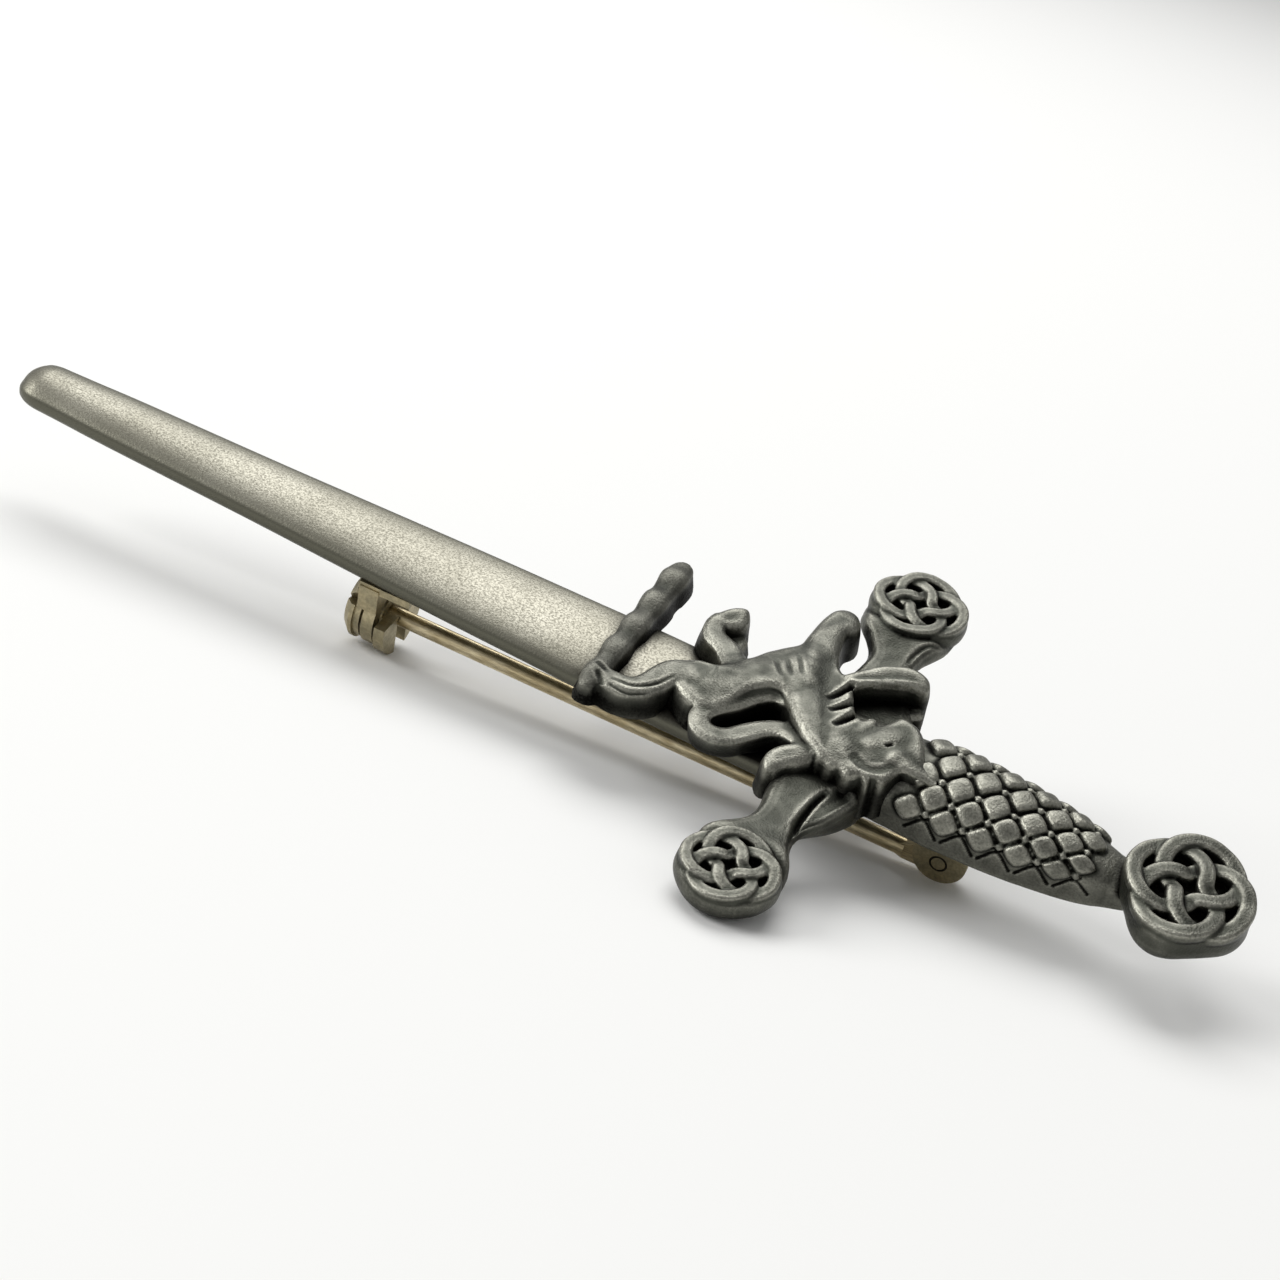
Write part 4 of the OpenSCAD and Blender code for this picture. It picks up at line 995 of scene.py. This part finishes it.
heights = height_map([lion, guard, grip, pommel])
rows_x = MAP_LOW[0] + (np.arange(MAP_SIZE[0]) + 0.5) * CELL
cols_y = MAP_LOW[1] + (np.arange(MAP_SIZE[1]) + 0.5) * CELL
half_at = np.array([blade_half(-x) if -REACH < x < 0 else 0 for x in rows_x])
blade_there = np.abs(cols_y)[None, :] < half_at[:, None]
heights = np.where(blade_there, np.maximum(heights, BLADE_T), heights)
near_map, wide_map = blurred(heights, NEAR_BLUR), blurred(heights, WIDE_BLUR)
top_map = highest_near(heights, round(SHADE_REACH / CELL))
print("height map of", MAP_SIZE, "cells, highest", round(float(heights.max()), 2), "mm")

# %% [markdown]
# ## What each vertex carries
# On the relief a hollow is a place that lies low and doesn't stand proud, where the
# black patina stays; a steep wall below a high edge gets painted shade in the same
# number. The grip is made lighter all over, and the lion gets a painted highlight
# on the walls that face the viewer. The blade gets a painted highlight along its middle.

# %% Hollow and crest attributes
# Share of painted shade that steep walls get, for each piece.
WALL_SHARE = {"lion": 0.8, "guard": 0.15, "grip": 0.2, "pommel": 0.1}
# How much lighter the grip is made all over.
GRIP_LIFT = {"grip": 0.36}
LION_SHINE, OTHER_SHINE = 2.2, 1.3


def store(item, name, values):
    item.data.attributes.new(name, "FLOAT", "POINT").data.foreach_set(
        "value", np.clip(values, 0, 1).astype(np.float32))


def read_maps(points):
    """How far each point is sunk in its surroundings, and the top near it."""
    at = ((points[:, :2] - MAP_LOW) / CELL).astype(int)
    near, wide = near_map[at[:, 0], at[:, 1]], wide_map[at[:, 0], at[:, 1]]
    sunk = 0.9 * (near - points[:, 2]) + 0.5 * (wide - points[:, 2])
    return sunk, top_map[at[:, 0], at[:, 1]]


def mark_relief(item):
    """Hollows and crests of a poured piece, with painted shade on steep walls and a painted
    highlight on the lion's walls that face the viewer.
    """
    points, out = vertices(item.data), normals(item.data)
    sunk, top = read_maps(points)
    fine = ((points - neighbour_mean(item.data, points, 4)) * out).sum(1)
    broad = ((points - neighbour_mean(item.data, points, 20)) * out).sum(1)
    proud = 14 * fine + 4 * broad
    # Painted shade on steep walls that stand below a high edge, in the same number as the patina.
    below = np.clip(top - points[:, 2] - 0.35, 0.1, 1)
    painted_wall_shade = WALL_SHARE[item.name] * np.clip((0.75 - out[:, 2]) * 2.2, 0, 1) * below
    # Darker towards the lion's feet.
    dull = 0.35 * np.clip((-13.2 - points[:, 0]) / 2, 0, 1)
    facing = 1 if item is lion else np.clip(out[:, 2] * 2.5, 0, 1)
    deep = 1.3 * (sunk - 0.15) * facing - 1.6 * proud
    store(item, "patina_and_shade", (np.maximum(deep, painted_wall_shade) + dull) * (points[:, 2] > 0.3))
    shine = LION_SHINE if item is lion else OTHER_SHINE
    bright = proud * np.clip(out[:, 2] + 0.6, 0, 1) * shine + GRIP_LIFT.get(item.name, 0)
    if item is lion:
        # Painted highlight on the lion's high walls that face the viewer, and less shine on those
        # that face away.
        nearer = np.clip(-1.6 * out[:, 1], -0.6, 1) * np.clip(points[:, 2] - 2.6, 0, 1)
        lit = 0.7 * np.clip(nearer, 0, 1) * (out[:, 2] > 0.2)
        bright = bright * (1 + np.clip(nearer, -1, 0)) + lit
    store(item, "crest", bright)
    print(item.name, "hollow mean", round(float(np.clip(sunk, 0, 1).mean()), 3),
          "proud spread", round(float(proud.std()), 4))


def mark_blade(item):
    """Grime beside the guard, and a painted highlight along the face's middle."""
    points, out = vertices(item.data), normals(item.data)
    sunk, _ = read_maps(points)
    store(item, "patina_and_shade", np.where(points[:, 2] > 1, sunk * 0.9, 0))
    edge = np.abs(points[:, 1]) / np.array([blade_half(-x) for x in points[:, 0]])
    # Painted highlight: brightest along the middle near the guard, fading to the edges and towards
    # the point; bevels get none, so they take painted shade.
    painted_sheen = (1.1 - 0.95 * edge ** 2.4) * (1.05 + 0.35 * points[:, 0] / REACH)
    store(item, "crest", painted_sheen * np.clip((out[:, 2] - 0.55) * 4, 0, 1))


for item in (lion, guard, grip, pommel):
    mark_relief(item)
mark_blade(blade)

# %% [markdown]
# ## Placing the casting
# All pieces of the casting turn to the way that the pin lies. They stand for the one
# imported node, and they ride on its body.

# %% Place and dress the casting
def finish_piece(item, matrix, material, body):
    """Turns a piece to the table, dresses it, and gives it its body."""
    put(item.data, moved(vertices(item.data), matrix))
    item.data.materials.clear()
    item.data.materials.append(material)
    for face in item.data.polygons:
        face.use_smooth = True
    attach(item, body)


casting = (blade, lion, guard, grip, pommel)
for item in casting:
    finish_piece(item, LYING, blasted if item is blade else pewter, "brooch")
    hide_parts("sword_casting")
print("casting in", len(casting), "pieces")

# %% [markdown]
# ## The findings
# Hinge, rivet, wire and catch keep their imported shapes, and get their metals here.

# %% Dress the findings
for name, metal in (("hinge_block", brass), ("hinge_rivet", brass), ("pin_stem", wire_metal),
                    ("catch_base", brass), ("catch_lock", brass)):
    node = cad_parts[name]
    node.data.materials.clear()
    node.data.materials.append(metal)
print("findings dressed")

# %% [markdown]
# ## Table, light and camera
# The pin lies on a plain white table under a large soft light from above and behind,
# which the satin face mirrors. A weaker one from the left fills the near walls. The
# camera stands where the photographer stood.

# %% Stage
floor = new_object("table", [(-3, -3, 0), (3, -3, 0), (3, 3, 0), (-3, 3, 0)], [(0, 1, 2, 3)])
paper = bpy.data.materials.new("white_paper")
paper.use_nodes = True
paper_shader = paper.node_tree.nodes["Principled BSDF"]
paper_shader.inputs["Base Color"].default_value = srgb("#f4f4f2")
paper_shader.inputs["Roughness"].default_value = 0.9
floor.data.materials.append(paper)


def soft_light(name, place, size, power):
    """A round area light that looks at the middle of the pin."""
    data = bpy.data.lights.new(name, "AREA")
    data.shape, data.size, data.energy = "DISK", size, power
    made = bpy.data.objects.new(name, data)
    bpy.context.scene.collection.objects.link(made)
    made.location = place
    made.rotation_euler = (-Vector(place)).to_track_quat("-Z", "Y").to_euler()


# The way to the light in the casting's frame, its width in metres and its brightness.
LIGHT_WAY = (-0.32, 0.69, 0.64)
LIGHT_FROM = np.array(LYING)[:3, :3] @ np.array(LIGHT_WAY) * 1000
LIGHT_SIZE, LIGHT_GLOW = 0.9, 3.1
LIGHT_POWER = LIGHT_GLOW * math.pi * (LIGHT_SIZE / 2) ** 2 * math.pi
LEFT_FROM, LEFT_SIZE, LEFT_POWER, WORLD_GLOW = (-0.8, -0.35, 0.5), 0.6, 6, 0.35
soft_light("overhead", tuple(LIGHT_FROM), LIGHT_SIZE, LIGHT_POWER)
soft_light("left", LEFT_FROM, LEFT_SIZE, LEFT_POWER)
world = bpy.data.worlds.new("studio")
world.use_nodes = True
sky = world.node_tree.nodes["Background"]
sky.inputs["Color"].default_value = srgb("#ffffff")
sky.inputs["Strength"].default_value = WORLD_GLOW
bpy.context.scene.world = world
bpy.context.scene.view_settings.view_transform = "Standard"

# %% Camera
# Turn and place in the casting's frame.
LENS, SENSOR = 73.30, 36
CAMERA_TURN = Matrix(((0.875, -0.4137, 0.2514), (0.4544, 0.5231, -0.721),
                      (0.1668, 0.7451, 0.6457)))
CAMERA_PLACE = (30.648, -130.0, 119.55)
camera = bpy.data.objects.new("camera", bpy.data.cameras.new("camera"))
bpy.context.scene.collection.objects.link(camera)
camera.data.lens = LENS
camera.data.sensor_width = SENSOR
camera.data.clip_start = 0.01
lean = Matrix.Rotation(PITCH, 3, "Y") @ Matrix.Rotation(ROLL, 3, "X") @ CAMERA_TURN
eye = LYING @ Vector(CAMERA_PLACE)
camera.matrix_world = Matrix.Translation(eye) @ lean.to_4x4()
bpy.context.scene.camera = camera
print("camera at", [round(c, 4) for c in eye])
